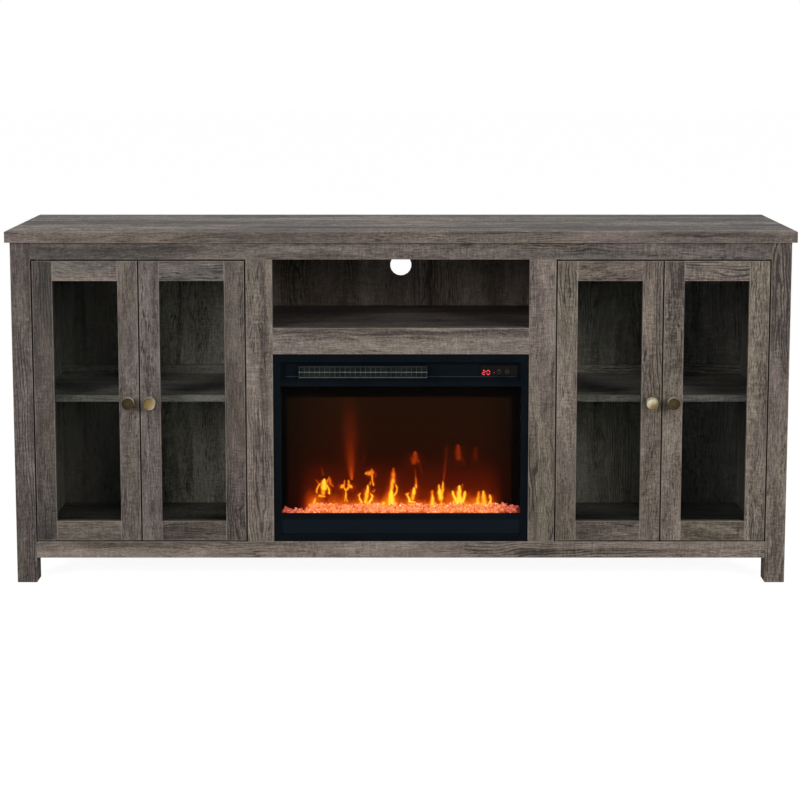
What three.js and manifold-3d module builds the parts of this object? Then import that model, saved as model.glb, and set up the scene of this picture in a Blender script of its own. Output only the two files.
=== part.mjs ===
// A media console: two cabinets with framed glass doors, an open media bay, and an electric
// fireplace insert in the middle. Millimetres, +Z up. The front looks towards -Y, and the
// origin is on the floor under the middle of the stand's bounding box.

import * as THREE from "three";
import Module from "manifold-3d";
import { ConvexGeometry } from "three/addons/geometries/ConvexGeometry.js";
import { mergeVertices } from "three/addons/utils/BufferGeometryUtils.js";

const wasm = await Module();
wasm.setup();

// Driving dimensions of the carcass
const TOP_WIDTH = 1778;
const TOP_DEPTH = 400;
const TOP_THICKNESS = 25;
const TOP_OVERHANG = 10;
const STAND_HEIGHT = 810;
const LEG_SIDE = 45;
const FLOOR_CLEARANCE = 57.5;
const RAIL_SETBACK = 1.5;
const RAIL_THICKNESS = 18;
const TOP_RAIL_HEIGHT = 39;
const BOTTOM_RAIL_HEIGHT = 38;
const STILE_WIDTH = 60;
const CENTER_OPENING_WIDTH = 580;
const FIREPLACE_OPENING_HEIGHT = 434.5;
const CROSS_RAIL_HEIGHT = 60;
const SIDE_THICKNESS = 15;
const PARTITION_THICKNESS = 15;
const BOTTOM_THICKNESS = 15;
const MEDIA_SHELF_THICKNESS = 15;
const BACK_THICKNESS = 4;
const BACK_INSET = 26;
const STRETCHER_THICKNESS = 15;
const STRETCHER_HEIGHT = 60;
const STRETCHER_LIP = 20;
const SHELF_THICKNESS = 15;
const SHELF_TOP = 424;
const SHELF_SETBACK = 61;
const SEAM = 0.3;
const ARRIS = 0.8;
const OVERRUN = 5;

// Cable holes in the back panel
const CABLE_HOLE_RADIUS = 26;
const CABLE_HOLE_HEIGHT_SHARE = 0.513;
const CORD_HOLE_ABOVE_FLOOR = 45;

// Shelf pins and the spare holes above and below them
const SHELF_PIN_RADIUS = 2.5;
const SHELF_PIN_REACH = 8;
const SHELF_PIN_PITCH = 64;
const SHELF_PIN_INSET = 37;
const SPARE_HOLE_DEPTH = 9;
const PIN_SIDES = 12;

// Doors
const DOOR_GAP = 3.5;
const DOOR_THICKNESS = 18;
const DOOR_MEMBER = 45;
const GLASS_LIP = 9;
const GLASS_OVERLAP = 6;
const GLASS_THICKNESS = 4;
const REBATE_CLEARANCE = 1;
const KNOB_RADIUS = 14;
const KNOB_PROJECTION = 25;
const KNOB_SIDES = 24;

// Pivot hinges at the top and bottom of each door
const PIN_FROM_EDGE = 12;
const PIN_RADIUS = 2.5;
const PIN_LENGTH = 10;
const PIN_CLEARANCE = 0.4;
const BORE_SPARE = 1;
const LEAF_LENGTH = 36;
const LEAF_WIDTH = 12;
const LEAF_THICKNESS = 1.6;
const SHOULDER_RADIUS = 4.5;
const LEAF_ARC_STEPS = 6;

// Double magnetic catches behind the meeting doors
const CATCH_LENGTH = 46;
const CATCH_DEPTH = 16;
const CATCH_DROP = 20;
const CATCH_TAIL = 18;

// Fireplace insert: front
const INSERT_SIDE_CLEARANCE = 1;
const INSERT_TOP_CLEARANCE = 1;
const INSERT_SETBACK = 3;
const BEZEL_DEPTH = 18;
const BEZEL_SIDE = 16;
const BEZEL_TOP = 18;
const STRIP_HEIGHT = 45;
const STRIP_RECESS = 12;
const STRIP_SLOPE = 10;
const BAND_HEIGHT = 10.5;
const SILL_HEIGHT = 63.5;
const GROOVE_HEIGHT = 4;
const GROOVE_DEPTH = 3;
const GROOVE_ABOVE_BOTTOM = 14;
const INSERT_GLASS_SETBACK = 10;
const INSERT_GLASS_THICKNESS = 4;
const INSERT_GLASS_OVERLAP = 4;

// Warm air grille and control panel in the recessed strip
const VENT_WIDTH = 292;
const VENT_HEIGHT = 27;
const VENT_MIDDLE_X = -86;
const VENT_ABOVE_STRIP = 8;
const GRILLE_SETBACK = 3;
const GRILLE_DEPTH = 13;
const GRILLE_RIM = 2;
const GRILLE_FIN = 2;
const GRILLE_FIN_COUNT = 24;
const CONTROL_WIDTH = 86;
const CONTROL_HEIGHT = 26;
const CONTROL_MIDDLE_X = 223;
const CONTROL_ABOVE_STRIP = 11.5;
const CONTROL_DEPTH = 12;
const CONTROL_RELIEF = 2;

// Fireplace insert: housing
const HOUSING_SIDE_MARGIN = 13;
const HOUSING_FLOOR_GAP = 0.3;
const HOUSING_TOP_GAP = 6;
const HOUSING_DEPTH = 206;
const SHEET = 2;
const DIVIDER_ABOVE_GLASS = 3;
const EMBER_SHELF_HEIGHT = 50;
const SCREEN_SETBACK = 58;
const SCREEN_THICKNESS = 3;
const VENT_SLOT_WIDTH = 5;
const VENT_SLOT_HEIGHT = 30;
const VENT_SLOT_PITCH = 14;
const VENT_SLOT_COUNT = 16;
const INLET_RADIUS = 9;
const INLET_LENGTH = 14;
const INLET_BORE = 4;
const INLET_X = 200;

// Ember bed of glass chips
const EMBER_DEPTH = 11;
const EMBER_RISE = 11;
const CHIP_HEIGHT = 4.5;
const EMBER_COLUMNS = 40;
const EMBER_ROWS = 4;

// Flame rotor: a spinning shaft with bright tabs behind the screen
const ROTOR_SHAFT_RADIUS = 3;
const ROTOR_BEHIND_SCREEN = 38;
const ROTOR_HEIGHT = 86;
const ROTOR_EAR_X = 240;
const ROTOR_END_PLAY = 1;
const ROTOR_TAB_WIDTH = 22;
const ROTOR_TAB_REACH = 17;
const ROTOR_TAB_THICKNESS = 1;
const ROTOR_TAB_COUNT = 14;
const ROTOR_TURNS = 1.75;
const EAR_WIDTH = 26;
const EAR_TOP = 12;
const ROTOR_MOTOR_RADIUS = 16;
const ROTOR_MOTOR_LENGTH = 18;
const RUNNING_CLEARANCE = 0.3;

// Heater box and its cross-flow blower
const HEATER_END_MARGIN = 8;
const HEATER_WALL = 1.5;
const HEATER_HEIGHT = 50;
const BLOWER_SETBACK = 50;
const BLOWER_RADIUS = 19;
const BLOWER_SHAFT_RADIUS = 3;
const BLOWER_END_PLAY = 2;
const BLOWER_DISC = 1.6;
const BLOWER_DISC_COUNT = 3;
const BLOWER_BLADE_COUNT = 12;
const BLOWER_BLADE_DEPTH = 7;
const BLOWER_BLADE_THICKNESS = 1;
const HEATER_FIN_COUNT = 14;
const HEATER_FIN_DEPTH = 12;
const HEATER_FIN_SETBACK = 6;
const MOTOR_RADIUS = 21;
const MOTOR_LENGTH = 34;
const ROUND_SIDES = 18;

// Places worked out from the driving dimensions. Here y = 0 is the front of the legs.
const bodyHalf = TOP_WIDTH / 2 - TOP_OVERHANG;
const bodyDepth = TOP_DEPTH - 2 * TOP_OVERHANG;
const legInner = bodyHalf - LEG_SIDE;
const topUnderside = STAND_HEIGHT - TOP_THICKNESS;
const topRailBottom = topUnderside - TOP_RAIL_HEIGHT;
const bottomRailTop = FLOOR_CLEARANCE + BOTTOM_RAIL_HEIGHT;
const railBack = RAIL_SETBACK + RAIL_THICKNESS;
const openingHalf = CENTER_OPENING_WIDTH / 2;
const stileOuter = openingHalf + STILE_WIDTH;
const partitionInner = stileOuter - PARTITION_THICKNESS;
const backInner = bodyDepth - BACK_INSET - BACK_THICKNESS;
const stretcherBack = backInner - SEAM;
const stretcherFront = stretcherBack - STRETCHER_THICKNESS;
const stretcherTop = SHELF_TOP + STRETCHER_LIP;
const stretcherBottom = stretcherTop - STRETCHER_HEIGHT;
const crossRailBottom = bottomRailTop + FIREPLACE_OPENING_HEIGHT;
const crossRailTop = crossRailBottom + CROSS_RAIL_HEIGHT;
const shelfBottom = SHELF_TOP - SHELF_THICKNESS;
const shelfBack = stretcherFront - SEAM;
const doorWidth = (legInner - stileOuter - 3 * DOOR_GAP) / 2;
const doorBottom = bottomRailTop + DOOR_GAP;
const doorHeight = topRailBottom - DOOR_GAP - doorBottom;
const pinY = DOOR_THICKNESS / 2;
const cableHoleHeight = crossRailTop + (topUnderside - crossRailTop) * CABLE_HOLE_HEIGHT_SHARE;
const cordHoleHeight = bottomRailTop + CORD_HOLE_ABOVE_FLOOR;

// Places in the insert, from its own front face and underside
const insertHalf = openingHalf - INSERT_SIDE_CLEARANCE;
const insertHeight = FIREPLACE_OPENING_HEIGHT - INSERT_TOP_CLEARANCE - SEAM;
const windowHalf = insertHalf - BEZEL_SIDE;
const stripTop = insertHeight - BEZEL_TOP;
const stripBottom = stripTop - STRIP_HEIGHT;
const windowTop = stripBottom - BAND_HEIGHT;
const windowBottom = SILL_HEIGHT;
const ventLeft = VENT_MIDDLE_X - VENT_WIDTH / 2;
const ventRight = VENT_MIDDLE_X + VENT_WIDTH / 2;
const ventBottom = stripBottom + VENT_ABOVE_STRIP;
const ventTop = ventBottom + VENT_HEIGHT;
const controlBottom = stripBottom + CONTROL_ABOVE_STRIP;
const housingFront = BEZEL_DEPTH + SEAM;
const housingBack = housingFront + HOUSING_DEPTH;
const housingHalf = openingHalf - HOUSING_SIDE_MARGIN;
const housingTop = insertHeight - HOUSING_TOP_GAP;
const dividerBottom = windowTop + INSERT_GLASS_OVERLAP + DIVIDER_ABOVE_GLASS;
const dividerTop = dividerBottom + SHEET;
const emberShelfTop = EMBER_SHELF_HEIGHT + SHEET;
const screenBack = SCREEN_SETBACK + SCREEN_THICKNESS;
const rotorY = screenBack + ROTOR_BEHIND_SCREEN;
const chamberTop = housingTop - SHEET;
const heaterMiddle = (dividerTop + chamberTop) / 2;
const heaterBottom = heaterMiddle - HEATER_HEIGHT / 2;
const heaterTop = heaterMiddle + HEATER_HEIGHT / 2;
const heaterLeft = ventLeft - HEATER_END_MARGIN;
const heaterRight = ventRight + HEATER_END_MARGIN;
const blowerY = housingFront + BLOWER_SETBACK;

const FINISHES = {
  laminate: { color: 0x776a60, roughness: 0.62, metalness: 0 },
  backboard: { color: 0x6f645b, roughness: 0.7, metalness: 0 },
  doorGlass: { color: 0xb9c4c2, roughness: 0.05, metalness: 0, transparent: true, opacity: 0.3 },
  brass: { color: 0xa48a62, roughness: 0.35, metalness: 0.9 },
  steel: { color: 0xa9abac, roughness: 0.35, metalness: 0.9 },
  catchPlastic: { color: 0x5b5552, roughness: 0.5, metalness: 0 },
  blackSteel: { color: 0x15171a, roughness: 0.45, metalness: 0.2 },
  sheetSteel: { color: 0x1c1d1f, roughness: 0.55, metalness: 0.4 },
  tintedGlass: { color: 0x1a1512, roughness: 0.05, metalness: 0, transparent: true, opacity: 0.4 },
  grille: { color: 0x33363a, roughness: 0.4, metalness: 0.5 },
  glossBlack: { color: 0x08090b, roughness: 0.12, metalness: 0 },
  screen: { color: 0x2a1208, roughness: 0.3, metalness: 0 },
  crystal: { color: 0xd98a74, roughness: 0.15, metalness: 0 },
  aluminium: { color: 0xc3c5c7, roughness: 0.3, metalness: 0.9 },
};

// Geometry tools

function toSolid(geometry) {
  const bare = new THREE.BufferGeometry();
  bare.setAttribute("position", geometry.getAttribute("position").clone());
  if (geometry.index) bare.setIndex(geometry.index.clone());
  const merged = mergeVertices(bare);
  const corners = merged.index.array;
  const triVerts = [];
  for (let i = 0; i < corners.length; i += 3) {
    const [a, b, c] = [corners[i], corners[i + 1], corners[i + 2]];
    if (a !== b && b !== c && c !== a) triVerts.push(a, b, c);
  }
  const vertProperties = new Float32Array(merged.getAttribute("position").array);
  return new wasm.Manifold(
    new wasm.Mesh({ numProp: 3, vertProperties, triVerts: new Uint32Array(triVerts) }),
  );
}

function toGeometry(solid) {
  const mesh = solid.getMesh();
  const geometry = new THREE.BufferGeometry();
  geometry.setAttribute("position", new THREE.BufferAttribute(mesh.vertProperties, 3));
  geometry.setIndex(new THREE.BufferAttribute(mesh.triVerts, 1));
  geometry.computeVertexNormals();
  return geometry;
}

function cut(base, ...tools) {
  return toGeometry(tools.reduce((left, tool) => left.subtract(toSolid(tool)), toSolid(base)));
}

function fuse(first, ...others) {
  return toGeometry(others.reduce((sum, other) => sum.add(toSolid(other)), toSolid(first)));
}

function box(from, to) {
  const bounds = new THREE.Box3().setFromPoints([
    new THREE.Vector3(...from),
    new THREE.Vector3(...to),
  ]);
  const size = bounds.getSize(new THREE.Vector3());
  const middle = bounds.getCenter(new THREE.Vector3());
  return new THREE.BoxGeometry(size.x, size.y, size.z).translate(middle.x, middle.y, middle.z);
}

// A board whose edges are eased by a small chamfer
function board(from, to, arris = ARRIS) {
  const points = [];
  for (const x of [0, 1]) {
    for (const y of [0, 1]) {
      for (const z of [0, 1]) {
        const pick = [x, y, z];
        const corner = pick.map((end, axis) => (end ? to[axis] : from[axis]));
        const inward = pick.map((end, axis) => Math.sign(to[axis] - from[axis]) * (end ? -arris : arris));
        for (const flush of [0, 1, 2]) {
          const place = corner.map((value, axis) => (axis === flush ? value : value + inward[axis]));
          points.push(new THREE.Vector3(...place));
        }
      }
    }
  }
  return new ConvexGeometry(points);
}

// A straight round bar along x, y or z, between two places on that axis
function bar(axis, radius, from, to, across, sides = ROUND_SIDES) {
  const geometry = new THREE.CylinderGeometry(radius, radius, Math.abs(to - from), sides);
  const middle = (from + to) / 2;
  if (axis === "x") return geometry.rotateZ(Math.PI / 2).translate(middle, across[0], across[1]);
  if (axis === "y") return geometry.translate(across[0], middle, across[1]);
  return geometry.rotateX(Math.PI / 2).translate(across[0], across[1], middle);
}

// An outline in the y-z plane carried along x
function profileAlongX(outline, from, to) {
  const geometry = new THREE.ExtrudeGeometry(outline, { depth: to - from, bevelEnabled: false });
  return geometry.rotateX(Math.PI / 2).rotateZ(Math.PI / 2).translate(from, 0, 0);
}

function outlineOf(points) {
  return new THREE.Shape(points.map(([y, z]) => new THREE.Vector2(y, z)));
}

const stand = new THREE.Group();

function place(parent, name, geometry, finish, position = [0, 0, 0], rotation = [0, 0, 0]) {
  const mesh = new THREE.Mesh(geometry, new THREE.MeshStandardMaterial(FINISHES[finish]));
  mesh.name = name;
  mesh.position.set(...position);
  mesh.rotation.set(...rotation);
  parent.add(mesh);
  return mesh;
}

// Carcass

function addTop() {
  const low = [-TOP_WIDTH / 2, -TOP_OVERHANG, topUnderside];
  const high = [TOP_WIDTH / 2, TOP_DEPTH - TOP_OVERHANG, STAND_HEIGHT];
  place(stand, "top_panel", board(low, high), "laminate");
}

function addLegs() {
  const height = topUnderside - SEAM;
  for (const [sideName, side] of [["left", -1], ["right", 1]]) {
    for (const [endName, y] of [["front", 0], ["rear", bodyDepth - LEG_SIDE]]) {
      const leg = board([side * bodyHalf, y, 0], [side * legInner, y + LEG_SIDE, height]);
      place(stand, `${endName}_${sideName}_leg`, leg, "laminate");
    }
  }
}

function addRails() {
  const half = legInner - SEAM;
  const topRail = board([-half, RAIL_SETBACK, topRailBottom], [half, railBack, topUnderside - SEAM]);
  place(stand, "top_front_rail", topRail, "laminate");
  const bottomRail = board([-half, RAIL_SETBACK, FLOOR_CLEARANCE], [half, railBack, bottomRailTop]);
  place(stand, "bottom_front_rail", bottomRail, "laminate");
  const crossHalf = openingHalf - SEAM;
  const crossRail = board(
    [-crossHalf, RAIL_SETBACK, crossRailBottom],
    [crossHalf, railBack, crossRailTop],
  );
  place(stand, "center_cross_rail", crossRail, "laminate");
  for (const [sideName, side] of [["left", -1], ["right", 1]]) {
    const stile = board(
      [side * openingHalf, RAIL_SETBACK, bottomRailTop + SEAM],
      [side * stileOuter, railBack, topRailBottom - SEAM],
    );
    place(stand, `${sideName}_center_stile`, stile, "laminate");
  }
}

// Steel shelf pins stand out of a wall's face at x, and spare holes go into it above and below
function withShelfPins(wall, faceX, outward) {
  const pins = [];
  const holes = [];
  for (const y of [SHELF_SETBACK + SHELF_PIN_INSET, shelfBack - SHELF_PIN_INSET]) {
    const pinZ = shelfBottom - SEAM - SHELF_PIN_RADIUS;
    const root = faceX - outward * SPARE_HOLE_DEPTH;
    pins.push(bar("x", SHELF_PIN_RADIUS, root, faceX + outward * SHELF_PIN_REACH, [y, pinZ], PIN_SIDES));
    for (const step of [-1, 1]) {
      const z = pinZ + step * SHELF_PIN_PITCH;
      holes.push(bar("x", SHELF_PIN_RADIUS, root, faceX + outward * OVERRUN, [y, z], PIN_SIDES));
    }
  }
  return fuse(cut(wall, ...holes), ...pins);
}

function addSidesAndPartitions() {
  for (const [sideName, side] of [["left", -1], ["right", 1]]) {
    const panel = board(
      [side * legInner, LEG_SIDE + SEAM, FLOOR_CLEARANCE],
      [side * (legInner + SIDE_THICKNESS), bodyDepth - LEG_SIDE - SEAM, topUnderside - SEAM],
    );
    place(stand, `${sideName}_side_panel`, withShelfPins(panel, side * legInner, -side), "laminate");
    const wall = board(
      [side * partitionInner, railBack + SEAM, bottomRailTop + SEAM],
      [side * stileOuter, backInner - SEAM, topUnderside - SEAM],
    );
    const notch = box(
      [side * (partitionInner - OVERRUN), stretcherFront - SEAM, stretcherBottom - SEAM],
      [side * (stileOuter + OVERRUN), backInner + OVERRUN, stretcherTop + SEAM],
    );
    const partition = withShelfPins(cut(wall, notch), side * stileOuter, side);
    place(stand, `${sideName}_partition`, partition, "laminate");
  }
}

function addHorizontals() {
  const half = legInner - SEAM;
  const front = railBack + SEAM;
  const back = backInner - SEAM;
  const bottom = board([-half, front, bottomRailTop - BOTTOM_THICKNESS], [half, back, bottomRailTop]);
  place(stand, "bottom_panel", bottom, "laminate");
  const shelfHalf = partitionInner - SEAM;
  const mediaShelf = board(
    [-shelfHalf, front, crossRailTop - MEDIA_SHELF_THICKNESS],
    [shelfHalf, back, crossRailTop],
  );
  place(stand, "media_shelf", mediaShelf, "laminate");
  for (const [sideName, side] of [["left", -1], ["right", 1]]) {
    const shelf = board(
      [side * (stileOuter + SEAM), SHELF_SETBACK, shelfBottom],
      [side * (legInner - SEAM), shelfBack, SHELF_TOP],
    );
    place(stand, `${sideName}_shelf`, shelf, "laminate");
  }
}

function addBack() {
  const half = legInner - SEAM;
  const sheet = box(
    [-half, backInner, bottomRailTop - BOTTOM_THICKNESS],
    [half, backInner + BACK_THICKNESS, topUnderside - SEAM],
  );
  const through = [backInner - OVERRUN, backInner + BACK_THICKNESS + OVERRUN];
  const cableHole = bar("y", CABLE_HOLE_RADIUS, ...through, [0, cableHoleHeight]);
  const cordHole = bar("y", CABLE_HOLE_RADIUS, ...through, [INLET_X, cordHoleHeight]);
  place(stand, "back_panel", cut(sheet, cableHole, cordHole), "backboard");
  const stretcher = board(
    [-half, stretcherFront, stretcherBottom],
    [half, stretcherBack, stretcherTop],
  );
  place(stand, "back_stretcher", stretcher, "laminate");
}

// An L-shaped catch: it hangs from the rail's back, and its magnets meet both doors
function addCatches() {
  const face = DOOR_THICKNESS + SEAM;
  const back = face + CATCH_DEPTH;
  const outline = outlineOf([
    [face, topRailBottom - CATCH_DROP],
    [back, topRailBottom - CATCH_DROP],
    [back, topRailBottom + CATCH_TAIL],
    [railBack + SEAM, topRailBottom + CATCH_TAIL],
    [railBack + SEAM, topRailBottom - SEAM],
    [face, topRailBottom - SEAM],
  ]);
  const bayMiddle = (stileOuter + legInner) / 2;
  for (const [sideName, side] of [["left", -1], ["right", 1]]) {
    const middle = side * bayMiddle;
    const body = profileAlongX(outline, middle - CATCH_LENGTH / 2, middle + CATCH_LENGTH / 2);
    place(stand, `${sideName}_magnetic_catch`, body, "catchPlastic");
  }
}

// Doors. Each one is made around its pin axis, with x towards the free edge times side.

function leafOutline(grow) {
  const radius = LEAF_WIDTH / 2 + grow;
  const farEnd = LEAF_LENGTH - LEAF_WIDTH;
  const outline = new THREE.Shape();
  outline.absarc(0, 0, radius, Math.PI / 2, (3 * Math.PI) / 2, false);
  outline.absarc(farEnd, 0, radius, -Math.PI / 2, Math.PI / 2, false);
  outline.closePath();
  return outline;
}

// A leaf's plate, with its underside at z = 0
function leafPlate(grow, thickness) {
  const settings = { depth: thickness, bevelEnabled: false, curveSegments: LEAF_ARC_STEPS };
  return new THREE.ExtrudeGeometry(leafOutline(grow), settings);
}

// The leaf on the rail: its plate, a shoulder that the door rides on, and the pin
function cabinetLeaf() {
  const shoulderTop = DOOR_GAP - SEAM - RUNNING_CLEARANCE;
  const pinTop = shoulderTop + PIN_LENGTH;
  const shoulder = bar("z", SHOULDER_RADIUS, 0, shoulderTop, [0, 0], PIN_SIDES);
  const pin = bar("z", PIN_RADIUS, 0, pinTop, [0, 0], PIN_SIDES);
  return fuse(leafPlate(0, LEAF_THICKNESS), shoulder, pin);
}

// The leaf let into the door's edge, with the hole for the pin
function doorLeaf() {
  const hole = bar(
    "z", PIN_RADIUS + PIN_CLEARANCE, -OVERRUN, LEAF_THICKNESS + OVERRUN, [0, 0], PIN_SIDES,
  );
  return cut(leafPlate(0, LEAF_THICKNESS), hole);
}

function doorFrame(side) {
  const hingeEdge = -side * PIN_FROM_EDGE;
  const freeEdge = side * (doorWidth - PIN_FROM_EDGE);
  const front = -pinY;
  const back = front + DOOR_THICKNESS;
  const slab = board([hingeEdge, front, 0], [freeEdge, back, doorHeight]);
  const inHinge = hingeEdge + side * DOOR_MEMBER;
  const inFree = freeEdge - side * DOOR_MEMBER;
  const window = box(
    [inHinge, front - OVERRUN, DOOR_MEMBER],
    [inFree, back + OVERRUN, doorHeight - DOOR_MEMBER],
  );
  const rebateWidth = GLASS_OVERLAP + REBATE_CLEARANCE;
  const rebate = box(
    [inHinge - side * rebateWidth, front + GLASS_LIP, DOOR_MEMBER - rebateWidth],
    [inFree + side * rebateWidth, back + OVERRUN, doorHeight - DOOR_MEMBER + rebateWidth],
  );
  const tools = [window, rebate];
  const pocketDepth = LEAF_THICKNESS + SEAM;
  const boreDepth = RUNNING_CLEARANCE + PIN_LENGTH + BORE_SPARE;
  for (const top of [false, true]) {
    const pocket = leafPlate(SEAM, pocketDepth + OVERRUN).translate(0, 0, -OVERRUN);
    const bore = bar("z", PIN_RADIUS + PIN_CLEARANCE, -OVERRUN, boreDepth, [0, 0], PIN_SIDES);
    for (const tool of [pocket, bore]) {
      if (side < 0) tool.rotateZ(Math.PI);
      if (top) tool.rotateX(Math.PI).translate(0, 0, doorHeight);
      tools.push(tool);
    }
  }
  return cut(slab, ...tools);
}

function doorGlass(side) {
  const near = DOOR_MEMBER - GLASS_OVERLAP;
  const hingeEdge = -side * PIN_FROM_EDGE + side * near;
  const freeEdge = side * (doorWidth - PIN_FROM_EDGE) - side * near;
  const front = -pinY + GLASS_LIP + SEAM;
  return board(
    [hingeEdge, front, near],
    [freeEdge, front + GLASS_THICKNESS, doorHeight - near],
  );
}

// A turned knob: a rose against the door, a waisted stem and a flat head with a bevelled rim
const KNOB_PROFILE_SHARES = [
  [0, 0],
  [0.62, 0],
  [0.62, 0.09],
  [0.4, 0.16],
  [0.36, 0.5],
  [0.62, 0.64],
  [1, 0.72],
  [1, 0.9],
  [0.88, 1],
  [0, 1],
];

function knob() {
  const points = KNOB_PROFILE_SHARES.map(
    ([out, along]) => new THREE.Vector2(out * KNOB_RADIUS, along * KNOB_PROJECTION),
  );
  const turned = new THREE.LatheGeometry(points, KNOB_SIDES).rotateX(Math.PI);
  return toGeometry(toSolid(turned));
}

function addDoor(name, side, hingeX) {
  const door = new THREE.Group();
  door.position.set(hingeX + side * PIN_FROM_EDGE, pinY, doorBottom);
  stand.add(door);
  place(door, `${name}_door_frame`, doorFrame(side), "laminate");
  place(door, `${name}_door_glass`, doorGlass(side), "doorGlass");
  const knobX = side * (doorWidth - PIN_FROM_EDGE - DOOR_MEMBER / 2);
  const knobPlace = [knobX, -pinY - SEAM, doorHeight / 2];
  place(door, `${name}_door_knob`, knob(), "brass", knobPlace);
  const turn = side < 0 ? Math.PI : 0;
  const railBelow = SEAM - DOOR_GAP;
  const railAbove = doorHeight - railBelow;
  place(door, `${name}_lower_cabinet_leaf`, cabinetLeaf(), "steel", [0, 0, railBelow], [0, 0, turn]);
  place(door, `${name}_lower_door_leaf`, doorLeaf(), "steel", [0, 0, 0], [0, 0, turn]);
  const flipped = [Math.PI, 0, turn];
  place(door, `${name}_upper_cabinet_leaf`, cabinetLeaf(), "steel", [0, 0, railAbove], flipped);
  place(door, `${name}_upper_door_leaf`, doorLeaf(), "steel", [0, 0, doorHeight], flipped);
}

function addDoors() {
  addDoor("left_outer", 1, -legInner + DOOR_GAP);
  addDoor("left_inner", -1, -stileOuter - DOOR_GAP);
  addDoor("right_inner", 1, stileOuter + DOOR_GAP);
  addDoor("right_outer", -1, legInner - DOOR_GAP);
}

// Fireplace insert

const insert = new THREE.Group();
insert.position.set(0, RAIL_SETBACK + INSERT_SETBACK, bottomRailTop + SEAM);
stand.add(insert);

// The recess for the grille and the controls. Its ends and its lower edge slope inwards.
function stripPocket() {
  const points = [];
  for (const [y, slope] of [[-OVERRUN, 0], [0, 0], [STRIP_RECESS, STRIP_SLOPE]]) {
    for (const side of [-1, 1]) {
      const x = side * (windowHalf - slope);
      points.push(new THREE.Vector3(x, y, stripBottom + slope), new THREE.Vector3(x, y, stripTop));
    }
  }
  return new ConvexGeometry(points);
}

function addBezel() {
  const face = board([-insertHalf, 0, 0], [insertHalf, BEZEL_DEPTH, insertHeight]);
  const behind = BEZEL_DEPTH + OVERRUN;
  const groove = box(
    [-windowHalf, -OVERRUN, GROOVE_ABOVE_BOTTOM],
    [windowHalf, GROOVE_DEPTH, GROOVE_ABOVE_BOTTOM + GROOVE_HEIGHT],
  );
  const window = box([-windowHalf, -OVERRUN, windowBottom], [windowHalf, behind, windowTop]);
  const lap = INSERT_GLASS_OVERLAP + REBATE_CLEARANCE;
  const rebate = box(
    [-windowHalf - lap, INSERT_GLASS_SETBACK, windowBottom - lap],
    [windowHalf + lap, behind, windowTop + lap],
  );
  const vent = box([ventLeft, -OVERRUN, ventBottom], [ventRight, behind, ventTop]);
  const control = box(
    [CONTROL_MIDDLE_X - CONTROL_WIDTH / 2, -OVERRUN, controlBottom],
    [CONTROL_MIDDLE_X + CONTROL_WIDTH / 2, behind, controlBottom + CONTROL_HEIGHT],
  );
  const bezel = cut(face, stripPocket(), groove, window, rebate, vent, control);
  place(insert, "insert_bezel", bezel, "blackSteel");
}

function addInsertGlass() {
  const half = windowHalf + INSERT_GLASS_OVERLAP;
  const front = INSERT_GLASS_SETBACK + SEAM;
  const pane = board(
    [-half, front, windowBottom - INSERT_GLASS_OVERLAP],
    [half, front + INSERT_GLASS_THICKNESS, windowTop + INSERT_GLASS_OVERLAP],
  );
  place(insert, "insert_glass", pane, "tintedGlass");
}

// The warm air outlet: a rim, one level bar and a row of upright fins
function addGrille() {
  const left = ventLeft + SEAM;
  const right = ventRight - SEAM;
  const low = ventBottom + SEAM;
  const high = ventTop - SEAM;
  const front = GRILLE_SETBACK;
  const back = front + GRILLE_DEPTH;
  const rim = box([left, front, low], [right, back, high]);
  const inner = box(
    [left + GRILLE_RIM, front - OVERRUN, low + GRILLE_RIM],
    [right - GRILLE_RIM, back + OVERRUN, high - GRILLE_RIM],
  );
  const middle = (low + high) / 2;
  const bars = [box([left, front, middle - GRILLE_FIN / 2], [right, back, middle + GRILLE_FIN / 2])];
  const pitch = (right - left - GRILLE_RIM) / (GRILLE_FIN_COUNT + 1);
  for (let i = 1; i <= GRILLE_FIN_COUNT; i += 1) {
    const x = left + GRILLE_RIM / 2 + i * pitch;
    bars.push(box([x - GRILLE_FIN / 2, front + SEAM, low], [x + GRILLE_FIN / 2, back - SEAM, high]));
  }
  place(insert, "insert_vent_grille", fuse(cut(rim, inner), ...bars), "grille");
}

// The control panel: a glossy block that stands a little proud of the recess's floor
function addControlPanel() {
  const left = CONTROL_MIDDLE_X - CONTROL_WIDTH / 2 + SEAM;
  const right = CONTROL_MIDDLE_X + CONTROL_WIDTH / 2 - SEAM;
  const low = controlBottom + SEAM;
  const high = controlBottom + CONTROL_HEIGHT - SEAM;
  const front = STRIP_RECESS - CONTROL_RELIEF;
  const body = board([left, front, low], [right, front + CONTROL_DEPTH, high]);
  place(insert, "insert_control_panel", body, "glossBlack");
}

function ear(x, outward) {
  const plate = box(
    [x, rotorY - EAR_WIDTH / 2, HOUSING_FLOOR_GAP],
    [x + outward * SHEET, rotorY + EAR_WIDTH / 2, ROTOR_HEIGHT + EAR_TOP],
  );
  const bore = bar(
    "x", ROTOR_SHAFT_RADIUS + RUNNING_CLEARANCE, x - outward * OVERRUN, x + outward * OVERRUN,
    [rotorY, ROTOR_HEIGHT],
  );
  return { plate, bore };
}

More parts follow.
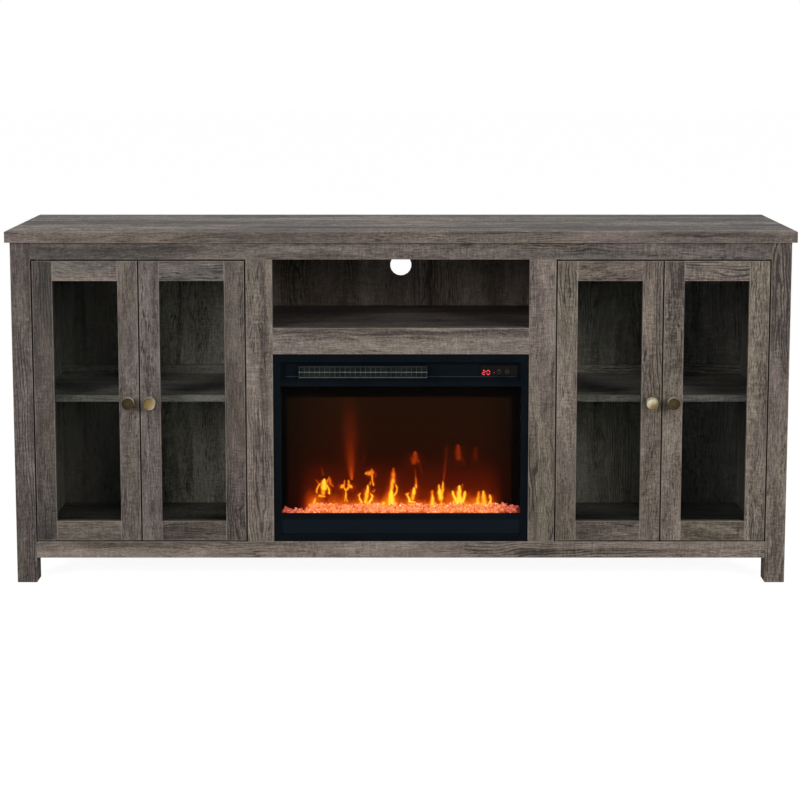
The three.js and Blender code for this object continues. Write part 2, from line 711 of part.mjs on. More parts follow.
// The sheet steel box: shell, divider under the heater, ember shelf, rotor ears, motor, inlet
function addHousing() {
  const shell = box(
    [-housingHalf, housingFront, HOUSING_FLOOR_GAP],
    [housingHalf, housingBack, housingTop],
  );
  const innerHalf = housingHalf - SHEET;
  const floorTop = HOUSING_FLOOR_GAP + SHEET;
  const hollow = box(
    [-innerHalf, housingFront - OVERRUN, floorTop],
    [innerHalf, housingBack - SHEET, chamberTop],
  );
  const divider = box([-housingHalf, housingFront, dividerBottom], [housingHalf, housingBack, dividerTop]);
  const shelf = box(
    [-housingHalf, housingFront, EMBER_SHELF_HEIGHT],
    [housingHalf, screenBack, emberShelfTop],
  );
  const leftEar = ear(-ROTOR_EAR_X, -1);
  const rightEar = ear(ROTOR_EAR_X, 1);
  const motorFrom = ROTOR_EAR_X + SHEET;
  const motor = bar(
    "x", ROTOR_MOTOR_RADIUS, motorFrom, motorFrom + ROTOR_MOTOR_LENGTH, [rotorY, ROTOR_HEIGHT],
  );
  const motorBore = bar(
    "x", ROTOR_SHAFT_RADIUS + RUNNING_CLEARANCE, motorFrom - OVERRUN, motorFrom + OVERRUN,
    [rotorY, ROTOR_HEIGHT],
  );
  const inletEnd = housingBack + INLET_LENGTH;
  const inletPlace = [INLET_X, CORD_HOLE_ABOVE_FLOOR];
  const inlet = bar("y", INLET_RADIUS, housingBack - SHEET, inletEnd, inletPlace);
  const inletBore = bar("y", INLET_BORE, housingBack, inletEnd + OVERRUN, inletPlace);
  const slots = [];
  for (let i = 0; i < VENT_SLOT_COUNT; i += 1) {
    const x = (i - (VENT_SLOT_COUNT - 1) / 2) * VENT_SLOT_PITCH;
    const halfWidth = VENT_SLOT_WIDTH / 2;
    const halfHeight = VENT_SLOT_HEIGHT / 2;
    slots.push(box(
      [x - halfWidth, housingBack - SHEET - OVERRUN, heaterMiddle - halfHeight],
      [x + halfWidth, housingBack + OVERRUN, heaterMiddle + halfHeight],
    ));
  }
  const sheets = fuse(cut(shell, hollow), divider, shelf, leftEar.plate, rightEar.plate, motor, inlet);
  const housing = cut(sheets, leftEar.bore, rightEar.bore, motorBore, inletBore, ...slots);
  place(insert, "insert_housing", housing, "sheetSteel");
}

// The screen that the flame light plays on, across the whole chamber
function addFlameScreen() {
  const half = housingHalf - SHEET - SEAM;
  const screen = board(
    [-half, SCREEN_SETBACK, emberShelfTop + SEAM],
    [half, screenBack, dividerBottom - SEAM],
  );
  place(insert, "flame_screen", screen, "screen");
}

// Waves of several lengths give the heap of chips its broken top
function chipHeight(column, row) {
  const wave = Math.sin(column * 2.3 + row * 1.7) + Math.sin(column * 0.9 - row * 2.9);
  return (CHIP_HEIGHT * wave) / 2;
}

// The heap of glass chips: a flat base and a broken top that rises towards the screen
function addEmberBed() {
  const half = housingHalf - SHEET - SEAM;
  const front = housingFront + SEAM;
  const back = SCREEN_SETBACK - SEAM;
  const base = emberShelfTop + SEAM;
  const positions = [];
  const triangles = [];
  const across = EMBER_COLUMNS + 1;
  const layer = across * (EMBER_ROWS + 1);
  for (const top of [false, true]) {
    for (let row = 0; row <= EMBER_ROWS; row += 1) {
      const away = row / EMBER_ROWS;
      for (let column = 0; column <= EMBER_COLUMNS; column += 1) {
        const x = -half + (2 * half * column) / EMBER_COLUMNS;
        const heap = EMBER_DEPTH + EMBER_RISE * away + chipHeight(column, row);
        positions.push(x, front + (back - front) * away, base + (top ? heap : 0));
      }
    }
  }
  const quad = (a, b, c, d) => triangles.push(a, b, c, a, c, d);
  for (let row = 0; row < EMBER_ROWS; row += 1) {
    for (let column = 0; column < EMBER_COLUMNS; column += 1) {
      const a = row * across + column;
      const d = a + across;
      quad(a, d, d + 1, a + 1);
      quad(layer + a, layer + a + 1, layer + d + 1, layer + d);
    }
  }
  const lastRow = EMBER_ROWS * across;
  for (let column = 0; column < EMBER_COLUMNS; column += 1) {
    quad(column, column + 1, layer + column + 1, layer + column);
    const b = lastRow + column;
    quad(b + 1, b, layer + b, layer + b + 1);
  }
  for (let row = 0; row < EMBER_ROWS; row += 1) {
    const a = row * across;
    quad(a + across, a, layer + a, layer + a + across);
    const b = a + EMBER_COLUMNS;
    quad(b, b + across, layer + b + across, layer + b);
  }
  const geometry = new THREE.BufferGeometry();
  geometry.setAttribute("position", new THREE.Float32BufferAttribute(positions, 3));
  geometry.setIndex(triangles);
  geometry.computeVertexNormals();
  place(insert, "ember_bed", geometry, "crystal");
}

// The rotor's tabs wind round the shaft like a loose screw, and throw light on the screen
function addFlameRotor() {
  const half = ROTOR_EAR_X - ROTOR_END_PLAY;
  const journal = ROTOR_EAR_X + SHEET;
  const shaft = bar("x", ROTOR_SHAFT_RADIUS, -journal, journal, [0, 0], PIN_SIDES);
  const tabs = [];
  const pitch = (2 * half) / ROTOR_TAB_COUNT;
  for (let i = 0; i < ROTOR_TAB_COUNT; i += 1) {
    const x = -half + (i + 1 / 2) * pitch;
    const tab = box(
      [x - ROTOR_TAB_WIDTH / 2, -ROTOR_TAB_THICKNESS / 2, -ROTOR_TAB_REACH],
      [x + ROTOR_TAB_WIDTH / 2, ROTOR_TAB_THICKNESS / 2, ROTOR_TAB_REACH],
    );
    tabs.push(tab.rotateX((2 * Math.PI * ROTOR_TURNS * i) / ROTOR_TAB_COUNT));
  }
  place(insert, "flame_rotor", fuse(shaft, ...tabs), "aluminium", [0, rotorY, ROTOR_HEIGHT]);
}

// A cross-flow blower: discs on a shaft, joined by long blades at their rims
function addBlowerWheel() {
  const middle = (heaterLeft + heaterRight) / 2;
  const half = (heaterRight - heaterLeft) / 2 - HEATER_WALL - BLOWER_END_PLAY;
  const journal = half + BLOWER_END_PLAY + HEATER_WALL;
  const pieces = [];
  for (let i = 0; i < BLOWER_DISC_COUNT; i += 1) {
    const from = -half + ((2 * half - BLOWER_DISC) * i) / (BLOWER_DISC_COUNT - 1);
    pieces.push(bar("x", BLOWER_RADIUS, from, from + BLOWER_DISC, [0, 0]));
  }
  const bladeMiddle = BLOWER_RADIUS - BLOWER_BLADE_DEPTH / 2 - BLOWER_BLADE_THICKNESS;
  for (let i = 0; i < BLOWER_BLADE_COUNT; i += 1) {
    const blade = box(
      [-half + BLOWER_DISC / 2, -BLOWER_BLADE_THICKNESS / 2, bladeMiddle - BLOWER_BLADE_DEPTH / 2],
      [half - BLOWER_DISC / 2, BLOWER_BLADE_THICKNESS / 2, bladeMiddle + BLOWER_BLADE_DEPTH / 2],
    );
    pieces.push(blade.rotateX((2 * Math.PI * i) / BLOWER_BLADE_COUNT));
  }
  const shaft = bar("x", BLOWER_SHAFT_RADIUS, -journal, journal, [0, 0], PIN_SIDES);
  const wheel = fuse(shaft, ...pieces);
  place(insert, "blower_wheel", wheel, "aluminium", [middle, blowerY, heaterMiddle]);
}

// The heater box: a duct open at the front, its heating fins, end plates and blower motor
function addHeaterBox() {
  const front = housingFront + SEAM;
  const outerRadius = HEATER_HEIGHT / 2;
  const duct = (radius) => {
    const outline = new THREE.Shape();
    outline.moveTo(front, heaterMiddle - radius);
    outline.lineTo(blowerY, heaterMiddle - radius);
    outline.absarc(blowerY, heaterMiddle, radius, -Math.PI / 2, Math.PI / 2, false);
    outline.lineTo(front, heaterMiddle + radius);
    outline.closePath();
    return outline;
  };
  const left = heaterLeft + SEAM;
  const right = heaterRight - SEAM;
  const outer = profileAlongX(duct(outerRadius), left, right);
  const inner = profileAlongX(duct(outerRadius - HEATER_WALL), left + HEATER_WALL, right - HEATER_WALL);
  const mouth = box(
    [left + HEATER_WALL, front - OVERRUN, heaterBottom + HEATER_WALL],
    [right - HEATER_WALL, blowerY, heaterTop - HEATER_WALL],
  );
  const fins = [];
  const finFront = front + HEATER_FIN_SETBACK;
  for (let i = 1; i <= HEATER_FIN_COUNT; i += 1) {
    const x = left + ((right - left) * i) / (HEATER_FIN_COUNT + 1);
    fins.push(box(
      [x - HEATER_WALL / 2, finFront, heaterBottom],
      [x + HEATER_WALL / 2, finFront + HEATER_FIN_DEPTH, heaterTop],
    ));
  }
  const axisPlace = [blowerY, heaterMiddle];
  const motor = bar("x", MOTOR_RADIUS, right - HEATER_WALL, right + MOTOR_LENGTH, axisPlace);
  const boreRadius = BLOWER_SHAFT_RADIUS + RUNNING_CLEARANCE;
  const boreRight = right - HEATER_WALL;
  const leftBore = bar("x", boreRadius, left - OVERRUN, left + HEATER_WALL + OVERRUN, axisPlace);
  const rightBore = bar("x", boreRadius, boreRight - OVERRUN, right + OVERRUN, axisPlace);
  const shell = fuse(cut(outer, inner, mouth), ...fins, motor);
  place(insert, "heater_box", cut(shell, leftBore, rightBore), "sheetSteel");
}

addTop();
addLegs();
addRails();
addSidesAndPartitions();
addHorizontals();
addBack();
addCatches();
addDoors();
addBezel();
addInsertGlass();
addGrille();
addControlPanel();
addHousing();
addFlameScreen();
addEmberBed();
addFlameRotor();
addBlowerWheel();
addHeaterBox();

// The origin's y is the middle between the foremost and the rearmost point
const foremost = Math.min(-TOP_OVERHANG, -SEAM - KNOB_PROJECTION);
const rearmost = TOP_DEPTH - TOP_OVERHANG;
stand.position.y = -(foremost + rearmost) / 2;

export default stand;
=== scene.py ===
"""Looks of a fireplace television stand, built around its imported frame.

The stand is dressed in weathered oak laminate. Its doors get separate boards, glazing beads and
turned brass knobs. The fireplace insert gets its black coat, a lit display, glass chips and the
light of its flames. Lengths are in metres in the frame's own axes, unless a comment says
millimetres.
"""

from __future__ import annotations

import logging
import math
import random
from contextlib import contextmanager
from dataclasses import dataclass
from enum import Enum
from typing import Any, Callable, Iterator, Mapping, Sequence

import bpy
from mathutils import Euler, Matrix, Vector

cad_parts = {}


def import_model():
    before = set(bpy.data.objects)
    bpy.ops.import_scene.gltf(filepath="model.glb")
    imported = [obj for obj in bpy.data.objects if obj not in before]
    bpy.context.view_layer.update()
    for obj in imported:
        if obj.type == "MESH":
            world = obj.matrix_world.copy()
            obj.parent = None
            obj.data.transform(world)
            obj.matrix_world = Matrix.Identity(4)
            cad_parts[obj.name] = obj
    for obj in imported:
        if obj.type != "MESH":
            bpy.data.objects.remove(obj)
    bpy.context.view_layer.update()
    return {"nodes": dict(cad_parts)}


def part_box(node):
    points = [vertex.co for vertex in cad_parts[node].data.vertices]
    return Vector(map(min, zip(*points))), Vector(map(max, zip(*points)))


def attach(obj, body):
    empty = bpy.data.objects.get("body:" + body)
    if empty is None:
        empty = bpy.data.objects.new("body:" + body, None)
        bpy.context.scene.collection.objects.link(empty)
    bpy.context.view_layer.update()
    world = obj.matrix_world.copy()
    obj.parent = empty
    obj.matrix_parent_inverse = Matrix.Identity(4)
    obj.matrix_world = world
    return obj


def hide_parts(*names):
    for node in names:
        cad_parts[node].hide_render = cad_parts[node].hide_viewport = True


LOG = logging.getLogger("fireplace_stand")
MM = 0.001
SIDES = ("left", "right")

Colour = tuple[float, float, float]
Point = tuple[float, float, float]
Socket = bpy.types.NodeSocket
Piece = bpy.types.Object
Material = bpy.types.Material


def srgb(red: int, green: int, blue: int) -> Colour:
    """Turn a colour in the usual 0 to 255 steps into the linear values that shaders use.

    Args:
        red: The red step.
        green: The green step.
        blue: The blue step.

    Returns:
        The three linear values, from 0 to 1.
    """
    steps = (red / 255, green / 255, blue / 255)
    return tuple(s / 12.92 if s <= 0.04045 else ((s + 0.055) / 1.055) ** 2.4 for s in steps)


class Axis(Enum):
    """A direction of the frame, for grain and for round bars."""

    X = 0
    Y = 1
    Z = 2

    def turn(self) -> Point:
        """Return the Euler angles that bring this axis of a point onto X."""
        quarter = math.pi / 2
        return {Axis.X: (0, 0, 0), Axis.Y: (0, 0, -quarter), Axis.Z: (0, quarter, 0)}[self]


# Shader building


class Graph:
    """Adds and links nodes in one shader tree."""

    def __init__(self, tree: bpy.types.NodeTree) -> None:
        """Keep the tree that the nodes go into."""
        self.tree = tree

    def put(self, socket: Socket, value: Any) -> None:
        """Link or set one input socket.

        Args:
            socket: The input socket.
            value: Another node's output socket, or a plain value.
        """
        if isinstance(value, Socket):
            self.tree.links.new(value, socket)
        elif socket.type == "RGBA" and len(value) == 3:
            socket.default_value = (*value, 1)
        elif socket.type == "VECTOR" and isinstance(value, (int, float)):
            socket.default_value = (value, value, value)
        else:
            socket.default_value = value

    def add(self, kind: str, inputs: Mapping[Any, Any] | None = None, **settings: Any) -> bpy.types.Node:
        """Add a node, set its options and fill its inputs.

        Args:
            kind: The node's type without its ShaderNode prefix.
            inputs: Input names or numbers, with a socket or a value for each.
            **settings: The node's own options.

        Returns:
            The new node.
        """
        node = self.tree.nodes.new(f"ShaderNode{kind}")
        for name, value in settings.items():
            setattr(node, name, value)
        for key, value in (inputs or {}).items():
            self.put(node.inputs[key], value)
        return node

    def math(self, operation: str, first: Any, second: Any = None, third: Any = None) -> Socket:
        """Return the result of a Math node, such as DIVIDE or SINE."""
        values = {i: v for i, v in enumerate((first, second, third)) if v is not None}
        return self.add("Math", values, operation=operation).outputs[0]

    def plus(self, first: Any, second: Any) -> Socket:
        """Return first plus second."""
        return self.math("ADD", first, second)

    def minus(self, first: Any, second: Any) -> Socket:
        """Return first less second."""
        return self.math("SUBTRACT", first, second)

    def times(self, first: Any, second: Any) -> Socket:
        """Return first times second."""
        return self.math("MULTIPLY", first, second)

    def blend(self, first: Any, second: Any, third: Any) -> Socket:
        """Return first times second, plus third."""
        return self.math("MULTIPLY_ADD", first, second, third)

    def vector(self, operation: str, first: Any, second: Any = None, scale: Any = None) -> Socket:
        """Add a Vector Math node.

        Args:
            operation: What it does, such as ADD or LENGTH.
            first: Its first vector.
            second: Its second vector, if it takes two.
            scale: The number that SCALE takes.

        Returns:
            Its result, which is a number for DOT_PRODUCT and LENGTH.
        """
        values = {i: v for i, v in {0: first, 1: second, "Scale": scale}.items() if v is not None}
        node = self.add("VectorMath", values, operation=operation)
        return node.outputs[1 if operation in ("DOT_PRODUCT", "LENGTH") else 0]

    def parts(self, vector: Any) -> Sequence[Socket]:
        """Return a vector's three numbers."""
        return self.add("SeparateXYZ", {0: vector}).outputs

    def span(self, value: Any, low: Any, high: Any, to_low: Any = 0.0, to_high: Any = 1.0) -> Socket:
        """Carry a value from one range to another by a smooth step, clamped.

        Args:
            value: The value.
            low: Where the first range starts.
            high: Where it ends.
            to_low: Where the second range starts.
            to_high: Where it ends.

        Returns:
            The value in the second range.
        """
        inputs = {"Value": value, "From Min": low, "From Max": high, "To Min": to_low, "To Max": to_high}
        return self.add("MapRange", inputs, interpolation_type="SMOOTHSTEP").outputs[0]

    def mix(self, share: Any, first: Any, second: Any, blend: str = "MIX") -> Socket:
        """Return two colours mixed by share, in the named blend mode."""
        inputs = {0: share, 6: first, 7: second}
        return self.add("Mix", inputs, data_type="RGBA", blend_type=blend).outputs[2]

    def noise(self, vector: Any, scale: float = 1.0, detail: float = 2.0, rough: float = 0.5) -> Socket:
        """Return a noise texture's value, about 0.5 on average."""
        inputs = {"Vector": vector, "Scale": scale, "Detail": detail, "Roughness": rough}
        return self.add("TexNoise", inputs).outputs["Fac"]

    def stretched(self, vector: Any, scales: Point, detail: float = 2.0, shift: float = 0.0) -> Socket:
        """Add noise whose frequency differs along the three axes.

        Args:
            vector: The point to read at.
            scales: Waves per metre along each axis.
            detail: The noise's detail.
            shift: Moves the pattern, so that two like patterns differ.

        Returns:
            The noise's value.
        """
        scaled = self.vector("MULTIPLY", vector, scales)
        moved = self.vector("ADD", scaled, (shift, shift, shift)) if shift else scaled
        return self.noise(moved, detail=detail)

    def ramp(self, value: Any, stops: Sequence[tuple[float, Colour]]) -> Socket:
        """Add a colour ramp.

        Args:
            value: Where to read it.
            stops: Its places and colours, in rising order.

        Returns:
            The colour.
        """
        node = self.add("ValToRGB", {0: value})
        elements = node.color_ramp.elements
        elements[0].position, elements[0].color = stops[0][0], (*stops[0][1], 1)
        elements[1].position, elements[1].color = stops[-1][0], (*stops[-1][1], 1)
        for place, colour in stops[1:-1]:
            elements.new(place).color = (*colour, 1)
        return node.outputs[0]

    def bump(self, height: Socket, strength: float, distance: float) -> Socket:
        """Return the normal of a relief with this height."""
        return self.add("Bump", {"Height": height, "Strength": strength, "Distance": distance}).outputs[0]

    def place(self, name: str, **inputs: Any) -> Mapping[str, Socket]:
        """Place one of the shared effect groups.

        Args:
            name: The group's name.
            **inputs: A socket or a value for each of its inputs.

        Returns:
            Its output sockets.
        """
        return self.add("Group", inputs, node_tree=effect_tree(name)).outputs


def blank(owner: Material | bpy.types.World) -> Graph:
    """Empty the node tree of a material or a world, to build it anew.

    Args:
        owner: The material or the world.

    Returns:
        The graph of its empty tree.
    """
    owner.use_nodes = True
    owner.node_tree.nodes.clear()
    return Graph(owner.node_tree)


Builder = Callable[[Graph, Mapping[str, Socket]], dict[str, Socket]]
EFFECTS: dict[str, tuple[Mapping[str, str], Mapping[str, str], Builder]] = {}


def effect(inputs: Mapping[str, str], outputs: Mapping[str, str]) -> Callable[[Builder], Builder]:
    """Keep a function as the builder of a shared shader node group that bears its name.

    Args:
        inputs: The group's input names, with Float, Vector or Color for each.
        outputs: Its output names, the same way.

    Returns:
        The decorator.
    """

    def keep(build: Builder) -> Builder:
        """Note the builder down, and return it as it was."""
        EFFECTS[build.__name__] = (inputs, outputs, build)
        return build

    return keep


def effect_tree(name: str) -> bpy.types.NodeTree:
    """Build one of the shared groups, the first time that it is asked for.

    Args:
        name: The group's name.

    Returns:
        The finished tree.
    """
    if name in bpy.data.node_groups:
        return bpy.data.node_groups[name]
    inputs, outputs, build = EFFECTS[name]
    tree = bpy.data.node_groups.new(name, "ShaderNodeTree")
    for way, sockets in (("INPUT", inputs), ("OUTPUT", outputs)):
        for socket, kind in sockets.items():
            tree.interface.new_socket(name=socket, in_out=way, socket_type=f"NodeSocket{kind}")
    source = tree.nodes.new("NodeGroupInput")
    result = tree.nodes.new("NodeGroupOutput")
    graph = Graph(tree)
    for key, value in build(graph, {s.name: s for s in source.outputs if s.name}).items():
        graph.put(result.inputs[key], value)
    return tree


@effect(
    {"Vector": "Vector", "Tone": "Float", "Cool": "Float", "Streaks": "Float", "Contrast": "Float"},
    {"Color": "Color", "Roughness": "Float", "Height": "Float"},
)
def weathered_oak(g: Graph, given: Mapping[str, Socket]) -> dict[str, Socket]:
    """Build grey-brown oak laminate, with X along the grain.

    Args:
        g: The group's graph.
        given: Its inputs.

    Returns:
        Its colour, roughness and height.
    """
    at = given["Vector"]
    wander = g.add("TexNoise", {"Vector": g.vector("MULTIPLY", at, (1.6, 6, 6)), "Detail": 2.0})
    sway = g.vector("SUBTRACT", wander.outputs["Color"], (0.5, 0.5, 0.5))
    grain = g.vector("ADD", at, g.vector("MULTIPLY", sway, (0, 0.022, 0.022)))
    parts = g.parts(grain)
    lean_y = g.math("PINGPONG", g.blend(parts[0], 0.034, parts[1]), 0.047)
    lean_z = g.math("PINGPONG", g.blend(parts[0], -0.021, parts[2]), 0.053)
    from_pith = g.math("SQRT", g.blend(lean_y, lean_y, g.times(lean_z, lean_z)))
    ripple = g.stretched(grain, (6, 36, 36), 3)
    rings = g.blend(g.math("SINE", g.blend(ripple, 7.0, g.times(from_pith, 1100.0))), 0.5, 0.5)
    figured = g.span(g.stretched(grain, (2.2, 13, 13), 2, 5.3), 0.48, 0.64)
    lines = g.times(g.span(rings, 0.5, 0.98), figured)
    fibre = g.stretched(grain, (26, 520, 520), 3, 1.7)
    fleck = g.stretched(at, (170, 380, 380), 2, 2.9)
    cracked = g.span(g.stretched(grain, (4.5, 24, 24), 2, 19.0), 0.47, 0.66, 0.08, 1.0)
    veins = g.times(g.span(g.stretched(grain, (38, 430, 430), 2, 3.1), 0.52, 0.68), cracked)
    streak = g.span(g.stretched(grain, (1.1, 30, 30), 3, 8.9), 0.56, 0.74)
    blotch = g.stretched(at, (1.5, 10, 10), 3, 11.0)
    smudge = g.stretched(grain, (9, 48, 48), 2, 13.0)
    tint = g.stretched(at, (2.6, 13, 13), 2, 17.0)
    saw = g.stretched(at, (280, 50, 50), 1, 23.0)
    saw_patch = g.span(g.stretched(at, (5, 15, 15), 1, 29.0), 0.4, 0.66, 0.3, 1.0)
    sawn = g.times(g.minus(saw, 0.5), saw_patch)
    fibre_swing = g.minus(fibre, 0.5)

    layers = (
        (g.minus(fleck, 0.5), 0.5), (lines, -0.31), (g.minus(blotch, 0.5), 0.7),
        (g.minus(smudge, 0.5), 0.42), (sawn, 0.42), (veins, -0.42),
        (g.times(streak, given["Streaks"]), -0.26),
    )
    swing = g.times(fibre_swing, 0.72)
    for layer, weight in layers:
        swing = g.blend(layer, weight, swing)
    shade = g.blend(swing, given["Contrast"], g.plus(given["Tone"], 0.5))
    greys = (
        (0.0, srgb(40, 36, 33)), (0.25, srgb(72, 65, 60)), (0.5, srgb(106, 98, 91)),
        (0.75, srgb(138, 129, 121)), (1.0, srgb(167, 158, 148)),
    )
    cast = g.mix(given["Cool"], (1.015, 1.0, 0.925), (0.98, 0.99, 1.045))
    colour = g.mix(1.0, g.ramp(shade, greys), cast, "MULTIPLY")
    fine_tint = g.blend(fibre_swing, 1.1, tint)
    mauve = g.span(fine_tint, 0.44, 0.62, 0.0, 0.8)
    honey = g.span(fine_tint, 0.5, 0.32, 0.0, 0.55)
    slate = g.times(g.span(blotch, 0.52, 0.38), given["Cool"])
    for share, hue in ((mauve, (1.01, 0.945, 1.01)), (honey, (1.03, 0.99, 0.87)), (slate, (0.9, 0.98, 1.04))):
        colour = g.mix(share, colour, hue, "MULTIPLY")
    rough = g.blend(veins, 0.12, g.blend(g.minus(0.5, fibre), 0.3, 0.6))
    height = g.blend(sawn, 0.8, g.blend(veins, -0.6, g.times(fibre, 0.35)))
    return {"Color": colour, "Roughness": rough, "Height": height}


@effect({"Vector": "Vector", "Low": "Vector", "High": "Vector", "Reach": "Float"}, {"Mask": "Float"})
def edge_wear(g: Graph, given: Mapping[str, Socket]) -> dict[str, Socket]:
    """Find the long edges and corners of a board from its own box, for a painted highlight along them.

    Args:
        g: The group's graph.
        given: Its inputs.

    Returns:
        Its share of painted highlight, which is 1 at an edge.
    """
    inward = g.vector("SUBTRACT", given["Vector"], given["Low"])
    outward = g.vector("SUBTRACT", given["High"], given["Vector"])
    x, y, z = g.parts(g.vector("MINIMUM", inward, outward))
    low_pair = g.math("MINIMUM", x, y)
    high_pair = g.math("MAXIMUM", x, y)
    middle = g.math("MAXIMUM", low_pair, g.math("MINIMUM", high_pair, z))
    patchy = g.noise(given["Vector"], 42.0, 3.0, 0.6)
    reach = g.times(given["Reach"], g.blend(patchy, 2.4, -0.2))
    return {"Mask": g.span(middle, reach, 0.0)}


@effect({"Vector": "Vector", "Peel": "Float", "Smear": "Float"}, {"Smears": "Float", "Height": "Float"})
def mottle(g: Graph, given: Mapping[str, Socket]) -> dict[str, Socket]:
    """Build a painted or moulded skin: fine orange peel and faint smears.

    Args:
        g: The group's graph.
        given: Its inputs.

    Returns:
        Its smears and height.
    """
    peel = g.noise(g.vector("SCALE", given["Vector"], scale=given["Peel"]), 1.0, 2.0, 0.6)
    smear = g.noise(g.vector("SCALE", given["Vector"], scale=given["Smear"]), 1.0, 4.0, 0.6)
    return {"Smears": g.span(smear, 0.35, 0.68), "Height": peel}


@effect({"Vector": "Vector", "Pitch": "Float"}, {"Lines": "Float", "Tarnish": "Float"})
def turned_lines(g: Graph, given: Mapping[str, Socket]) -> dict[str, Socket]:
    """Build the tool marks on metal: fine rings round the Y axis of its point.

    Args:
        g: The group's graph.
        given: Its inputs.

    Returns:
        Its lines and tarnish.
    """
    flat = g.vector("MULTIPLY", given["Vector"], (1, 0, 1))
    rings = g.math("DIVIDE", g.vector("LENGTH", flat), given["Pitch"])
    uneven = g.noise(given["Vector"], 900.0, 2.0)
    lines = g.math("SINE", g.blend(uneven, 2.5, rings))
    tarnish = g.span(g.noise(given["Vector"], 160.0, 4.0, 0.65), 0.42, 0.66)
    return {"Lines": g.blend(lines, 0.5, 0.5), "Tarnish": tarnish}


@effect(
    {
        "Vector": "Vector", "Base": "Vector", "Tip": "Vector",
        "Bend": "Float", "Width": "Float", "Glow": "Float", "Fade": "Float",
    },
    {"Glow": "Float"},
)
def flame_stroke(g: Graph, given: Mapping[str, Socket]) -> dict[str, Socket]:
    """Build one tongue of flame between two points of the screen's plane.

    Args:
        g: The group's graph.
        given: Its inputs.

    Returns:
        Its glow.
    """
    away = g.vector("SUBTRACT", given["Vector"], given["Base"])
    line = g.vector("SUBTRACT", given["Tip"], given["Base"])
    length = g.vector("LENGTH", line)
    along = g.math("DIVIDE", g.vector("DOT_PRODUCT", away, line), g.times(length, length))
    t = g.math("MINIMUM", g.math("MAXIMUM", along, 0.0), 1.0)
    beyond = g.times(g.minus(along, t), length)
    across = g.vector("CROSS_PRODUCT", away, g.vector("NORMALIZE", line))
    side = g.vector("DOT_PRODUCT", across, (0, 1, 0))
    back = g.minus(1.0, t)
    arch = g.times(g.times(t, back), 4.0)
    offset = g.minus(side, g.times(arch, given["Bend"]))
    squares = g.blend(offset, offset, g.times(beyond, beyond))
    shape = g.times(g.math("POWER", back, 0.6), g.blend(t, 0.8, 0.8))
    width = g.blend(given["Width"], g.times(shape, 0.54), 0.6 * MM)
    nearness = g.math("DIVIDE", g.math("SQRT", squares), width)
    core = g.span(nearness, 2.0, 0.05)
    halo = g.span(nearness, 4.4, 0.8, 0.0, 0.14)
    near_base = g.times(g.math("MAXIMUM", given["Fade"], 0.0), back)
    near_tip = g.times(g.math("MINIMUM", given["Fade"], 0.0), t)
    faded = g.plus(g.minus(1.0, near_base), near_tip)
    bright = g.times(g.math("MAXIMUM", core, halo), faded)
    return {"Glow": g.times(bright, given["Glow"])}


@effect({"Vector": "Vector", "Chip": "Float", "Half": "Float"}, {"Color": "Color", "Tone": "Float"})
def chip_glow(g: Graph, given: Mapping[str, Socket]) -> dict[str, Socket]:
    """Build the light inside glass chips: hot, pink at the ends, and tinted at the back by painted light of
    the flames.

    Args:
        g: The group's graph.
        given: Its inputs.

    Returns:
        Its colour and tone.
    """
    x, y, _ = g.parts(given["Vector"])
    outward = g.math("DIVIDE", g.math("ABSOLUTE", x), given["Half"])
    patches = g.noise(given["Vector"], 34.0, 2.0)
    ends = g.span(outward, 0.7, 0.98)
    cooler = g.blend(ends, 0.85, g.minus(patches, 0.48))
    heart = g.minus(g.noise(given["Vector"], 240.0, 2.0), 0.5)
    tone = g.blend(heart, 0.45, g.blend(ends, -0.16, given["Chip"]))
    hot = (
        (0.04, srgb(104, 26, 8)), (0.24, srgb(214, 98, 48)), (0.5, srgb(244, 142, 78)),
        (0.76, srgb(255, 172, 104)), (1.0, srgb(255, 206, 160)),
    )
    pale = (
        (0.04, srgb(56, 12, 12)), (0.24, srgb(160, 56, 46)), (0.5, srgb(212, 104, 90)),
        (0.76, srgb(238, 144, 128)), (1.0, srgb(255, 214, 206)),
    )
    colour = g.mix(cooler, g.ramp(tone, hot), g.ramp(tone, pale))
    # Painted light: chips at the back, under the flames, take the flames' yellow-orange light as a tint.
    behind = g.span(y, -0.141, -0.124)
    licked = g.span(g.noise(given["Vector"], 46.0, 2.0), 0.48, 0.62)
    painted_flame_glow = g.times(g.times(behind, licked), g.span(outward, 0.82, 0.7))
    flame_light_tint = (1.06, 1.02, 0.42)
    return {"Color": g.mix(painted_flame_glow, colour, flame_light_tint, "MULTIPLY"), "Tone": tone}


# Finishes


class Finish:
    """A surface finish that builds one material round its own surface."""

    name: str

    def material(self) -> Material:
        """Build the finish's material.

        Returns:
            The material, with one Principled shader.
        """
        material = bpy.data.materials.new(self.name)
        g = blank(material)
        inputs = self.surface(g, g.add("TexCoord").outputs["Object"])
        shader = g.add("BsdfPrincipled", inputs).outputs[0]
        g.add("OutputMaterial", {"Surface": self.lit(g, shader)})
        return material

    def surface(self, g: Graph, at: Socket) -> dict[str, Any]:
        """Return the Principled shader's inputs, from Object coordinates."""
        raise NotImplementedError

    def lit(self, g: Graph, shader: Socket) -> Socket:
        """Return the shader that the material puts out."""
        return shader


